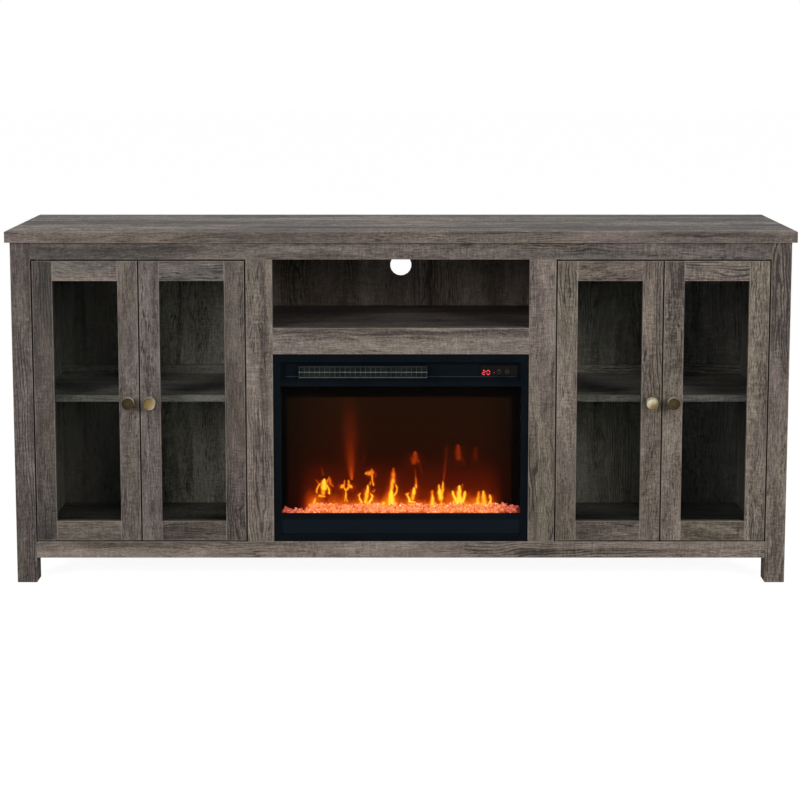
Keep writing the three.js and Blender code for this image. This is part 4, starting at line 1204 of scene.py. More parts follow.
class Bench:
    """Modelling moves that the sub-assemblies share, all with Blender's own operators."""

    @staticmethod
    def only(*pieces: Piece) -> Piece:
        """Select just these pieces and make the first one active.

        Args:
            *pieces: The pieces.

        Returns:
            The first one.
        """
        bpy.ops.object.select_all(action="DESELECT")
        for piece in pieces:
            piece.select_set(True)
        bpy.context.view_layer.objects.active = pieces[0]
        return pieces[0]

    @staticmethod
    def added(name: str) -> Piece:
        """Name the piece that an operator has just added, and bring its place into its mesh.

        Args:
            name: The piece's name.

        Returns:
            The piece.
        """
        piece = bpy.context.object
        piece.name = name
        piece.data.name = name
        bpy.ops.object.transform_apply(location=True, rotation=True, scale=True)
        return piece

    @staticmethod
    @contextmanager
    def editing() -> Iterator[None]:
        """Shape the active piece in edit mode, all of it selected, and then turn its faces outwards.

        Returns:
            A context that the shaping stands in.
        """
        bpy.ops.object.mode_set(mode="EDIT")
        bpy.ops.mesh.select_all(action="SELECT")
        yield
        bpy.ops.mesh.select_all(action="SELECT")
        bpy.ops.mesh.normals_make_consistent(inside=False)
        bpy.ops.object.mode_set(mode="OBJECT")

    @staticmethod
    def finish(piece: Piece, kind: str, **settings: Any) -> None:
        """Give a piece a modifier, and apply it.

        Args:
            piece: The piece.
            kind: The modifier's type.
            **settings: The modifier's own options.
        """
        Bench.only(piece)
        modifier = piece.modifiers.new(kind.lower(), kind)
        for name, value in settings.items():
            setattr(modifier, name, value)
        bpy.ops.object.modifier_apply(modifier=modifier.name)

    @staticmethod
    def block(name: str, low: Sequence[float], high: Sequence[float], ease: float = 0.0) -> Piece:
        """Model a squared block with eased edges.

        Args:
            name: The piece's name.
            low: Its lowest corner.
            high: Its highest corner.
            ease: How much its edges are rounded.

        Returns:
            The piece.
        """
        low, high = Vector(low), Vector(high)
        bpy.ops.object.select_all(action="DESELECT")
        bpy.ops.mesh.primitive_cube_add(size=1, location=(low + high) / 2)
        bpy.context.object.scale = high - low
        piece = Bench.added(name)
        if ease:
            Bench.ease(piece, ease)
        return piece

    @staticmethod
    def ease(piece: Piece, width: float) -> None:
        """Round the sharp edges of a piece."""
        Bench.finish(piece, "BEVEL", width=width, segments=2, limit_method="ANGLE", angle_limit=0.6)

    @staticmethod
    def rod(
        name: str, axis: Axis, centre: Sequence[float], radius: float, length: float, sides: int = 32
    ) -> Piece:
        """Model a plain round bar, to be eased or cut with.

        Args:
            name: The piece's name.
            axis: The way that it runs.
            centre: Its middle.
            radius: Its radius.
            length: Its length.
            sides: How many sides it has.

        Returns:
            The piece.
        """
        turn = {Axis.X: (0, math.pi / 2, 0), Axis.Y: (math.pi / 2, 0, 0), Axis.Z: (0, 0, 0)}[axis]
        bpy.ops.object.select_all(action="DESELECT")
        bpy.ops.mesh.primitive_cylinder_add(
            vertices=sides, radius=radius, depth=length, location=centre, rotation=turn
        )
        return Bench.added(name)

    @staticmethod
    def carve(piece: Piece, *tools: Piece) -> None:
        """Cut pieces out of another.

        Args:
            piece: The piece that is cut.
            *tools: The pieces that cut it, which are thrown away.
        """
        for tool in tools:
            Bench.finish(piece, "BOOLEAN", operation="DIFFERENCE", object=tool, solver="EXACT")
            bpy.data.objects.remove(tool)

    @staticmethod
    def join(name: str, pieces: Sequence[Piece]) -> Piece:
        """Make one piece of several.

        Args:
            name: The whole piece's name.
            pieces: The pieces.

        Returns:
            The whole piece.
        """
        whole = Bench.only(*pieces)
        if len(pieces) > 1:
            bpy.ops.object.join()
        whole.name = name
        whole.data.name = name
        return whole

    @staticmethod
    def copy(name: str, piece: Piece, matrix: Matrix) -> Piece:
        """Copy a piece with a mesh of its own.

        Args:
            name: The copy's name.
            piece: The piece.
            matrix: How the copy is moved, turned and scaled.

        Returns:
            The copy.
        """
        twin = piece.copy()
        twin.data = piece.data.copy()
        twin.name = name
        twin.data.transform(matrix)
        bpy.context.scene.collection.objects.link(twin)
        return twin

    @staticmethod
    def turned(
        name: str, foot: Sequence[float], profile: Sequence[tuple[float, float]], sides: int
    ) -> Piece:
        """Turn a piece on an axis along -Y, as a lathe does, by extruding ring after ring.

        Args:
            name: The piece's name.
            foot: The middle of the piece's foot.
            profile: Radius and distance from the foot, ring by ring, beginning at the foot.
            sides: How many sides each ring has.

        Returns:
            The piece, closed at both ends and smooth.
        """
        foot = Vector(foot)
        radius, reach = profile[0]
        bpy.ops.object.select_all(action="DESELECT")
        bpy.ops.mesh.primitive_circle_add(
            vertices=sides, radius=radius, fill_type="NGON", location=foot, rotation=(math.pi / 2, 0, 0)
        )
        piece = Bench.added(name)
        with Bench.editing():
            for next_radius, next_reach in profile[1:]:
                step = (0, reach - next_reach, 0)
                bpy.ops.mesh.extrude_region_move(TRANSFORM_OT_translate={"value": step})
                ratio = next_radius / radius
                centre = foot + Vector((0, -next_reach, 0))
                bpy.ops.transform.resize(value=(ratio, 1, ratio), center_override=centre)
                radius, reach = next_radius, next_reach
        Bench.only(piece)
        bpy.ops.object.shade_smooth_by_angle(angle=math.radians(32))
        return piece


def dress(piece: Piece, material: Material) -> None:
    """Give a piece one material all over.

    Args:
        piece: A new piece or a CAD node.
        material: The material.
    """
    piece.data.materials.clear()
    piece.data.materials.append(material)
    for face in piece.data.polygons:
        face.material_index = 0


def settle(piece: Piece, body: str, finish: Finish) -> None:
    """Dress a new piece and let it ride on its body.

    Args:
        piece: The new piece.
        body: The CAD body that it moves with.
        finish: Its finish.
    """
    dress(piece, finish.material())
    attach(piece, body)
    LOG.info("piece %s rides on %s", piece.name, body)


# Sub-assemblies


# For each board its grain, tone, coolness and contrast, and for the top panel its streaks and what
# its upper face adds to its tone and contrast, as painted light from above. The low tones of the
# bottom panel and the media shelf are painted shade inside the cabinets and the media bay, and the
# left shelf's higher tone is painted light on its front edge. A board's place in the list is its seed.
BOARDS: Mapping[str, tuple[Any, ...]] = {
    "top_panel": (Axis.X, -0.17, 0.3, 0.85, 1.9, (0.14, 1.2)),
    "front_left_leg": (Axis.Z, -0.26, 0.8, 1.0),
    "front_right_leg": (Axis.Z, -0.13, 0.2, 1.2),
    "rear_left_leg": (Axis.Z, -0.12, 0.7, 1.1),
    "rear_right_leg": (Axis.Z, -0.1, 0.4, 1.2),
    "left_side_panel": (Axis.Z, -0.1, 0.7, 1.1),
    "right_side_panel": (Axis.Z, -0.08, 0.4, 1.2),
    "left_partition": (Axis.Z, -0.2, 0.5, 0.9),
    "right_partition": (Axis.Z, -0.12, 0.5, 1.0),
    "bottom_panel": (Axis.X, -0.25, 0.7, 1.0),
    "top_front_rail": (Axis.X, -0.15, 0.6, 0.9),
    "bottom_front_rail": (Axis.X, -0.02, 0.1, 1.0),
    "center_cross_rail": (Axis.X, -0.04, 0.4, 1.05),
    "left_center_stile": (Axis.Z, -0.05, 0.2, 0.95),
    "right_center_stile": (Axis.Z, -0.12, 0.2, 1.1),
    "media_shelf": (Axis.X, -0.29, 1.3, 0.9),
    "left_shelf": (Axis.X, 0.03, 1.0, 1.0),
    "right_shelf": (Axis.X, -0.12, 1.0, 1.1),
    "back_stretcher": (Axis.X, -0.04, 0.6, 1.0),
}


# The outline of the back's screw heads, ring by ring: the ring's radius and its distance from the
# sheet, as shares of the head's radius.
SCREW_OUTLINE = ((1.0, 0.0), (1.0, 0.3), (0.93, 0.45), (0.7, 0.58), (0.4, 0.64))


@dataclass
class Carcass:
    """The oak case: boards that keep their CAD shape, shelf pins and the back's screws.

    Attributes:
        nodes: The frame's CAD nodes.
        pin_radius: The steel shelf pins' radius. They cover the CAD model's own pins.
        pin_reach: How far they stand out of their walls.
        cad_pin_reach: How far the CAD model's pins do, which the walls' boxes take in.
        pin_inset: How far the pins are from the shelf's front and back edges.
        pin_drop: How far their middle is below the shelf.
        collar_share: The radius of the collars round them, as a share of the pins'.
        collar_width: How wide the collars are.
        collar_place: How far a collar's middle is from the wall's face.
        screw_radius: The radius of the back's screw heads.
        screw_pitch: The least distance between two of them along an edge.
        screw_inset: How far they are from the sheet's edges.
        screw_turn: How much further each screw is turned than the one before.
    """

    nodes: Mapping[str, Piece]
    pin_radius: float = 2.62 * MM
    pin_reach: float = 7.9 * MM
    cad_pin_reach: float = 8 * MM
    pin_inset: float = 37 * MM
    pin_drop: float = 2.8 * MM
    collar_share: float = 1.6
    collar_width: float = 0.9 * MM
    collar_place: float = 0.5 * MM
    screw_radius: float = 3.6 * MM
    screw_pitch: float = 158 * MM
    screw_inset: float = 7.5 * MM
    screw_turn: float = 0.9

    def build(self) -> None:
        """Dress the boards, and add the pins and screws."""
        for seed, (name, (grain, *look)) in enumerate(BOARDS.items(), start=1):
            oak = Oak(f"oak_{name}", *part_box(name), grain, seed, *look)
            dress(self.nodes[name], oak.material())
            LOG.info("board %s dressed", name)
        low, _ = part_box("back_panel")
        dress(self.nodes["back_panel"], BackSheet("printed_hardboard", low, 41).material())
        plastic = Coat("catch_plastic", srgb(94, 87, 82), srgb(112, 104, 98), 0.5)
        for side in SIDES:
            dress(self.nodes[f"{side}_magnetic_catch"], plastic.material())
            self.add_pins(side)
        self.add_screws()

    def add_pins(self, side: str) -> None:
        """Add the four steel pins under one cabinet's shelf.

        Args:
            side: The cabinet's side, left or right.
        """
        shelf_low, shelf_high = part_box(f"{side}_shelf")
        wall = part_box(f"{side}_side_panel")
        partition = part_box(f"{side}_partition")
        way = 1 if side == "left" else -1
        outer = (wall[1].x if side == "left" else wall[0].x) - way * self.cad_pin_reach
        inner = (partition[0].x if side == "left" else partition[1].x) + way * self.cad_pin_reach
        z = shelf_low.z - self.pin_drop
        pins = []
        for x, inward in ((outer, way), (inner, -way)):
            for y in (shelf_low.y + self.pin_inset, shelf_high.y - self.pin_inset):
                middle = (x + inward * self.pin_reach / 2, y, z)
                pin = Bench.rod("pin", Axis.X, middle, self.pin_radius, self.pin_reach)
                collar = (x + inward * self.collar_place, y, z)
                radius = self.pin_radius * self.collar_share
                ring = Bench.rod("collar", Axis.X, collar, radius, self.collar_width)
                Bench.ease(pin, 0.5 * MM)
                Bench.ease(ring, 0.3 * MM)
                pins += [pin, ring]
        settle(Bench.join(f"{side}_shelf_pins", pins), "stand", Metal("pin_steel"))

    def add_screws(self) -> None:
        """Add the pan head screws that hold the back sheet along its edges."""
        low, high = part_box("back_panel")
        left, right = low.x + self.screw_inset, high.x - self.screw_inset
        foot, head = low.z + self.screw_inset, high.z - self.screw_inset
        columns = math.floor((right - left) / self.screw_pitch)
        rows = math.floor((high.z - low.z) / self.screw_pitch)
        step, rise = (right - left) / columns, (head - foot) / rows
        places = [(left + i * step, z) for i in range(columns + 1) for z in (foot, head)]
        places += [(x, foot + i * rise) for i in range(1, rows) for x in (left, right)]
        master = self.screw()
        screws = []
        for index, (x, z) in enumerate(places):
            spin = Matrix.Rotation(index * self.screw_turn, 4, "Y")
            screws.append(Bench.copy("screw", master, Matrix.Translation((x, high.y, z)) @ spin))
        bpy.data.objects.remove(master)
        settle(Bench.join("back_panel_screws", screws), "stand", Metal("screw_zinc"))

    def screw(self) -> Piece:
        """Model one domed screw head with a cross recess, facing +Y from the origin.

        Returns:
            The screw head.
        """
        r = self.screw_radius
        profile = [(r * out, r * along) for out, along in SCREW_OUTLINE]
        head = Bench.turned("screw_master", (0, 0, 0), profile, 20)
        narrow, long = 0.16 * r, 0.55 * r
        for half_x, half_z in ((long, narrow), (narrow, long)):
            Bench.carve(head, Bench.block("slot", (-half_x, -r, -half_z), (half_x, -0.35 * r, half_z)))
        head.data.transform(Matrix.Rotation(math.pi, 4, "Z"))
        return head


# The knob's outline, ring by ring: its radius and its distance from the foot, as shares of the
# knob's own radius and reach.
KNOB_OUTLINE = (
    (0.60, 0.0), (0.62, 0.02), (0.62, 0.05), (0.58, 0.08), (0.46, 0.10), (0.39, 0.14),
    (0.36, 0.20), (0.36, 0.27), (0.40, 0.33), (0.50, 0.375), (0.70, 0.405), (0.88, 0.43),
    (0.955, 0.46), (0.985, 0.51), (0.99, 0.60), (0.99, 0.75), (0.988, 0.89), (0.98, 0.94),
    (0.96, 0.98), (0.93, 0.997), (0.89, 0.997), (0.86, 0.985), (0.84, 0.955), (0.81, 0.95),
    (0.5, 0.94), (0.2, 0.935),
)


@dataclass
class Door:
    """One framed glass door: four oak boards, glazing beads, strike plate and knob.

    Attributes:
        nodes: The frame's CAD nodes.
        name: Which door it is, such as left_outer.
        hinge_left: Whether its pins are at its left edge.
        tones: Tones of the hinge stile, free stile, upper rail and lower rail.
        cools: Coolness of the same boards.
        contrast: How far the light and dark parts of its boards differ.
        seed: First stretch of laminate that its boards use.
        patina_and_painted_reflection: How dark its knob's face is: a darkened finish, and a painted
            reflection of dark surroundings.
        spread: How much that differs over the face.
        painted_highlight_way: The way, across and up, towards which its knob gets its painted highlight.
        member: How wide its boards are.
        rebate: How far the rebate for the glass goes into them.
        lip: How thick they are in front of the rebate.
        ease: How much their edges are rounded.
        pin_from_edge: How far its pins are from its hinge edge.
        leaf: The length and width of its hinge leaves' pockets.
        pocket: How deep these are.
        bore_radius: The radius of the holes for the pins.
        bore_depth: How deep these are.
        play: The gap between its beads and the glass and rebate round them.
        bead_round: How much the beads' edges are rounded.
        bead_back: How far they end short of the door's back.
        bead_reveal: How far they end short of the boards' inner edges.
        strike_run: How far the strike plate's two ends are from the door's free edge.
        strike_drop: How far its middle is below the door's upper edge.
        strike_half: Half its height.
        strike_let_in: How deep it is let into the board.
        strike_proud: How far it stands out of it.
        knob_shift: How much nearer to the door the knob's foot is than the CAD knob's.
    """

    nodes: Mapping[str, Piece]
    name: str
    hinge_left: bool
    tones: tuple[float, float, float, float]
    cools: tuple[float, float, float, float]
    contrast: float
    seed: int
    patina_and_painted_reflection: float
    spread: float
    painted_highlight_way: tuple[float, float]
    member: float = 45 * MM
    rebate: float = 7 * MM
    lip: float = 9 * MM
    ease: float = 0.5 * MM
    pin_from_edge: float = 12 * MM
    leaf: tuple[float, float] = (36.6 * MM, 12.6 * MM)
    pocket: float = 1.9 * MM
    bore_radius: float = 2.9 * MM
    bore_depth: float = 11.3 * MM
    play: float = 0.15 * MM
    bead_round: float = 1.3 * MM
    bead_back: float = 0.2 * MM
    bead_reveal: float = 0.3 * MM
    strike_run: tuple[float, float] = (4 * MM, 20 * MM)
    strike_drop: float = 9 * MM
    strike_half: float = 6 * MM
    strike_let_in: float = 0.9 * MM
    strike_proud: float = 0.12 * MM
    knob_shift: float = 0.15 * MM

    def __post_init__(self) -> None:
        """Read the door's box from the frame."""
        self.low, self.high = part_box(f"{self.name}_door_frame")
        self.body = f"{self.name}_door"

    def build(self) -> None:
        """Model and dress all the door's pieces."""
        low, high, inset = self.low, self.high, self.member - self.rebate
        opening = (
            (low.x + inset, low.y + self.lip, low.z + inset),
            (high.x - inset, high.y + self.member, high.z - inset),
        )
        left, right = low.x + self.member, high.x - self.member
        sides = ((low.x, left), (right, high.x))
        hinge, free = sides if self.hinge_left else sides[::-1]
        spans = {
            "hinge_stile": (Axis.Z, *hinge, low.z, high.z),
            "free_stile": (Axis.Z, *free, low.z, high.z),
            "upper_rail": (Axis.X, left, right, high.z - self.member, high.z),
            "lower_rail": (Axis.X, left, right, low.z, low.z + self.member),
        }
        for index, (part, (grain, x0, x1, z0, z1)) in enumerate(spans.items()):
            corners = ((x0, low.y, z0), (x1, high.y, z1))
            board = Bench.block(f"{self.name}_{part}", *corners)
            Bench.carve(board, Bench.block("rebate", *opening))
            if part == "hinge_stile":
                Bench.carve(board, *self.pockets())
            Bench.ease(board, self.ease)
            look = (self.seed + index, self.tones[index], self.cools[index], self.contrast)
            oak = Oak(f"oak_{self.name}_{part}", *(Vector(c) for c in corners), grain, *look)
            settle(board, self.body, oak)
            if part == "hinge_stile":
                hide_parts(f"{self.name}_door_frame")
        self.add_beads()
        self.add_strike()
        self.add_knob()
        dress(self.nodes[f"{self.name}_door_glass"], Glass("door_glass").material())
        bronze = Metal("leaf_bronze", srgb(70, 64, 58), srgb(46, 42, 38), rough=0.4).material()
        for level in ("lower", "upper"):
            for leaf in ("cabinet", "door"):
                dress(self.nodes[f"{self.name}_{level}_{leaf}_leaf"], bronze)

    def pockets(self) -> list[Piece]:
        """Model the tools that cut the places of the hinge leaves and their pins.

        Returns:
            A pocket and a bore for the door's foot, and the same for its head.
        """
        way = 1 if self.hinge_left else -1
        pin_x = (self.low.x if self.hinge_left else self.high.x) + way * self.pin_from_edge
        middle_y = (self.low.y + self.high.y) / 2
        length, width = self.leaf
        x0, x1 = sorted((pin_x - way * width / 2, pin_x - way * width / 2 + way * length))
        over = 2 * MM
        tools = []
        for z, up in ((self.low.z, 1), (self.high.z, -1)):
            z0, z1 = sorted((z - up * over, z + up * self.pocket))
            slab = Bench.block("pocket", (x0, middle_y - width / 2, z0), (x1, middle_y + width / 2, z1))
            self.round_ends(slab, width / 2)
            foot, head = sorted((z - up * over, z + up * self.bore_depth))
            centre = (pin_x, middle_y, (foot + head) / 2)
            tools += [slab, Bench.rod("bore", Axis.Z, centre, self.bore_radius, head - foot)]
        return tools

    @staticmethod
    def round_ends(slab: Piece, radius: float) -> None:
        """Round the upright edges of a slab into half circles.

        Args:
            slab: The slab.
            radius: Half its width.
        """
        Bench.only(slab)
        bpy.ops.object.mode_set(mode="EDIT")
        bpy.ops.mesh.select_all(action="DESELECT")
        bpy.ops.object.mode_set(mode="OBJECT")
        for edge in slab.data.edges:
            ends = [slab.data.vertices[i].co for i in edge.vertices]
            edge.select = abs(ends[0].z - ends[1].z) > radius / 10
        bpy.ops.object.mode_set(mode="EDIT")
        bpy.ops.mesh.select_mode(type="EDGE")
        bpy.ops.mesh.bevel(offset=radius * 0.999, segments=8, affect="EDGES")
        bpy.ops.object.mode_set(mode="OBJECT")

    def add_beads(self) -> None:
        """Add the rounded beads that hold the glass in its rebate."""
        _, glass_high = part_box(f"{self.name}_door_glass")
        front, back = glass_high.y + self.play, self.high.y - self.bead_back
        out = self.rebate - self.play
        x0, x1 = self.low.x + self.member - out, self.high.x - self.member + out
        z0, z1 = self.low.z + self.member - out, self.high.z - self.member + out
        width = out - self.bead_reveal
        spans = (
            (x0, x0 + width, z0, z1), (x1 - width, x1, z0, z1),
            (x0 + width, x1 - width, z0, z0 + width), (x0 + width, x1 - width, z1 - width, z1),
        )
        strips = [
            Bench.block("bead", (a, front, c), (b, back, d), self.bead_round) for a, b, c, d in spans
        ]
        finish = Coat(f"bead_{self.name}", srgb(58, 52, 48), srgb(74, 67, 62), 0.45)
        settle(Bench.join(f"{self.name}_glazing_beads", strips), self.body, finish)

    def add_strike(self) -> None:
        """Add the steel plate that the magnetic catch holds."""
        way = -1 if self.hinge_left else 1
        edge = self.high.x if self.hinge_left else self.low.x
        x0, x1 = sorted(edge + way * run for run in self.strike_run)
        back, z, half = self.high.y, self.high.z - self.strike_drop, self.strike_half
        low, high = (x0, back - self.strike_let_in, z - half), (x1, back + self.strike_proud, z + half)
        plate = Bench.block(f"{self.name}_strike_plate", low, high, 0.3 * MM)
        Bench.carve(plate, Bench.rod("hole", Axis.Y, ((x0 + x1) / 2, back, z), 1.7 * MM, 1.2 * MM, 24))
        settle(plate, self.body, Metal("strike_zinc"))

    def add_knob(self) -> None:
        """Turn the knob: a rose, a short waisted stem and a deep drum with a rim round its face."""
        low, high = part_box(f"{self.name}_door_knob")
        radius, reach = (high.x - low.x) / 2, high.y - low.y
        foot = ((low.x + high.x) / 2, high.y + self.knob_shift, (low.z + high.z) / 2)
        profile = [(radius * out, reach * along) for out, along in KNOB_OUTLINE]
        knob = Bench.turned(f"{self.name}_turned_knob", foot, profile, 64)
        look = (self.patina_and_painted_reflection, self.spread, self.painted_highlight_way)
        settle(knob, self.body, KnobBrass(f"brass_{self.name}", foot, radius, reach, *look))
        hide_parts(f"{self.name}_door_knob")


# The bars in each of the two touch marks, in millimetres: how far each bar is above the mark's
# middle, then half its width and half its height.
KEY_BARS = (((3.2, 0.5, 3.0),), ((0.0, 0.5, 1.1), (0.0, 2.2, 0.4)))


@dataclass
class Insert:
    """The electric fireplace: coats, panes, display marks, lit screen and hidden works.

    Attributes:
        nodes: The frame's CAD nodes.
        border: How wide the screen's black border is at the left, the right and the top.
        bed_drop: How far the chips' top at the screen is below the ember bed's highest point.
        digit_height: The height of the display's digits.
        digit_width: Their width.
        digit_gap: The gap between them.
        bar: The thickness of their bars.
        number_corner: Where the first digit is, from the panel's lower left corner.
        dot_place: Where the middle of the dot is, from the first digit's corner.
        dot_radius: The dot's radius.
        proud: How far a mark stands out of the panel's face.
        key_place: Where the middle of the first touch mark is, from the first digit's corner.
        key_pitch: How far the second one is from the first.
        key_radii: The outer and inner radius of a touch mark's ring.
        rim: How wide the grille's rim is.
        blades: How many louvres the vent has.
        blade_share: Half a louvre's depth, as a share of the distance between two.
        blade_half: Half its thickness.
        blade_lean: How far it is turned from lying flat.
        blade_place: How far its middle is behind the grille's front.
    """

    nodes: Mapping[str, Piece]
    border: tuple[float, float, float] = (13 * MM, 19 * MM, 42 * MM)
    bed_drop: float = 6 * MM
    digit_height: float = 9.4 * MM
    digit_width: float = 6.2 * MM
    digit_gap: float = 3.8 * MM
    bar: float = 2.0 * MM
    number_corner: tuple[float, float] = (5.0 * MM, 3.3 * MM)
    dot_place: tuple[float, float] = (26.0 * MM, 4.5 * MM)
    dot_radius: float = 0.7 * MM
    proud: float = 0.12 * MM
    key_place: tuple[float, float] = (37 * MM, 7.0 * MM)
    key_pitch: float = 19 * MM
    key_radii: tuple[float, float] = (4.6 * MM, 3.9 * MM)
    rim: float = 2.4 * MM
    blades: int = 4
    blade_share: float = 0.62
    blade_half: float = 0.35 * MM
    blade_lean: float = math.radians(52)
    blade_place: float = 5.0 * MM

    def build(self) -> None:
        """Dress the insert's CAD pieces, and add the louvres and the display."""
        black, worn = srgb(7, 12, 16), srgb(10, 15, 20)
        panel = (srgb(7, 6, 6), srgb(10, 9, 9), 0.09, 300.0, 0.005 * MM)
        sheet = (srgb(12, 12, 13), srgb(18, 18, 19), 0.5, 500.0)
        finishes = {
            "insert_bezel": BezelCoat("bezel_coat", black, worn, 0.5, 1400.0, 0.06 * MM, gloss=0.02),
            "insert_vent_grille": GrilleCoat("grille_coat", *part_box("insert_vent_grille")),
            "insert_control_panel": Coat("panel_gloss", *panel, gloss=0.1),
            "insert_housing": Coat("housing_sheet", *sheet, gloss=0.08),
            "heater_box": Coat("heater_sheet", srgb(66, 67, 69), srgb(84, 85, 87), 0.42, metallic=0.6),
            "insert_glass": Glass("smoked_glass", (0.86, 0.84, 0.82), 1.055),
            "flame_screen": self.screen_light(),
        }
        for node, finish in finishes.items():
            dress(self.nodes[node], finish.material())
        foil = Metal("bright_foil", srgb(206, 208, 210), srgb(170, 172, 175), rough=0.22).material()
        for node in ("flame_rotor", "blower_wheel"):
            dress(self.nodes[node], foil)
        self.add_louvres()
        self.add_display()

    def screen_light(self) -> FlameLight:
        """Lay out the light of the flame screen, inside its black border.

        Returns:
            The light.
        """
        low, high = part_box("flame_screen")
        _, bed_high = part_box("ember_bed")
        left, right, top = self.border
        lit_low, lit_high = (low.x + left, 0.0, low.z), (high.x - right, 0.0, high.z - top)
        return FlameLight("flame_light", lit_low, lit_high, bed_high.z - self.bed_drop)

    def add_louvres(self) -> None:
        """Add the sloping blades behind the grille's bars, which hide the blower from sight."""
        low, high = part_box("insert_vent_grille")
        pitch = (high.z - low.z - 2 * self.rim) / self.blades
        wide, thick = pitch * self.blade_share, self.blade_half
        lean = Matrix.Rotation(self.blade_lean, 4, "X")
        blades = []
        for index in range(self.blades):
            z = low.z + self.rim + (index + 0.5) * pitch
            corners = ((low.x + self.rim, -wide, -thick), (high.x - self.rim, wide, thick))
            blade = Bench.block("blade", *corners, 0.2 * MM)
            blade.data.transform(Matrix.Translation((0, low.y + self.blade_place, z)) @ lean)
            blades.append(blade)
        coat = Coat("louvre_coat", srgb(25, 29, 28), srgb(40, 45, 43), 0.5, 900.0, gloss=0.05)
        settle(Bench.join("vent_louvres", blades), "stand", coat)

    def add_display(self) -> None:
        """Add a two digit number, a dot and two plain touch marks to the control panel."""
        low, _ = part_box("insert_control_panel")
        left, y, floor = low.x + self.number_corner[0], low.y, low.z + self.number_corner[1]
        digits = []
        for place, segments in enumerate(("abged", "abcdef")):
            x = left + place * (self.digit_width + self.digit_gap)
            digits += self.digit(segments, x, floor, y)
        along, up = self.dot_place
        digits.append(self.mark((left + along, y, floor + up), self.dot_radius))
        red = Lamp("display_red", (1.0, 0.045, 0.06), 1.5)
        settle(Bench.join("display_number", digits), "stand", red)
        keys = []
        outer, inner = self.key_radii
        for index, bars in enumerate(KEY_BARS):
            x, z = left + self.key_place[0] + self.key_pitch * index, floor + self.key_place[1]
            ring = self.mark((x, y, z), outer)
            Bench.carve(ring, Bench.rod("inside", Axis.Y, (x, y, z), inner, 4 * MM, 40))
            keys.append(ring)
            keys += [self.stud(x, z + up * MM, y, wide * MM, tall * MM) for up, wide, tall in bars]
        grey = Lamp("touch_grey", srgb(52, 46, 44), 0.3)
        settle(Bench.join("touch_marks", keys), "stand", grey)

    def stud(self, x: float, z: float, y: float, half_x: float, half_z: float) -> Piece:
        """Model one small raised bar round x and z, on the panel's face at y."""
        low = (x - half_x, y - self.proud, z - half_z)
        return Bench.block("stud", low, (x + half_x, y + self.proud, z + half_z), 0.08 * MM)

    def mark(self, centre: Sequence[float], radius: float) -> Piece:
        """Model one small raised disc on the panel's face.

        Args:
            centre: Its middle.
            radius: Its radius.

        Returns:
            The disc.
        """
        disc = Bench.rod("mark", Axis.Y, centre, radius, 2 * self.proud, 40)
        Bench.ease(disc, 0.05 * MM)
        return disc

    def digit(self, segments: str, x: float, z: float, y: float) -> list[Piece]:
        """Model the lit bars of one seven segment digit.

        Args:
            segments: The letters of the lit bars.
            x: Where its left edge is.
            z: Where its foot is.
            y: Where the panel's face is.

        Returns:
            The bars.
        """
        w, h, half = self.digit_width, self.digit_height, self.bar / 2
        reach = h / 4 - half * 1.2
        wide = w / 2 - half * 1.2
        places = {
            "a": (w / 2, h, wide, half), "d": (w / 2, 0, wide, half), "g": (w / 2, h / 2, wide, half),
            "b": (w, 3 * h / 4, half, reach), "c": (w, h / 4, half, reach),
            "e": (0, h / 4, half, reach), "f": (0, 3 * h / 4, half, reach),
        }
        lit = [places[key] for key in segments]
        return [self.stud(x + along, z + up, y, half_x, half_z) for along, up, half_x, half_z in lit]


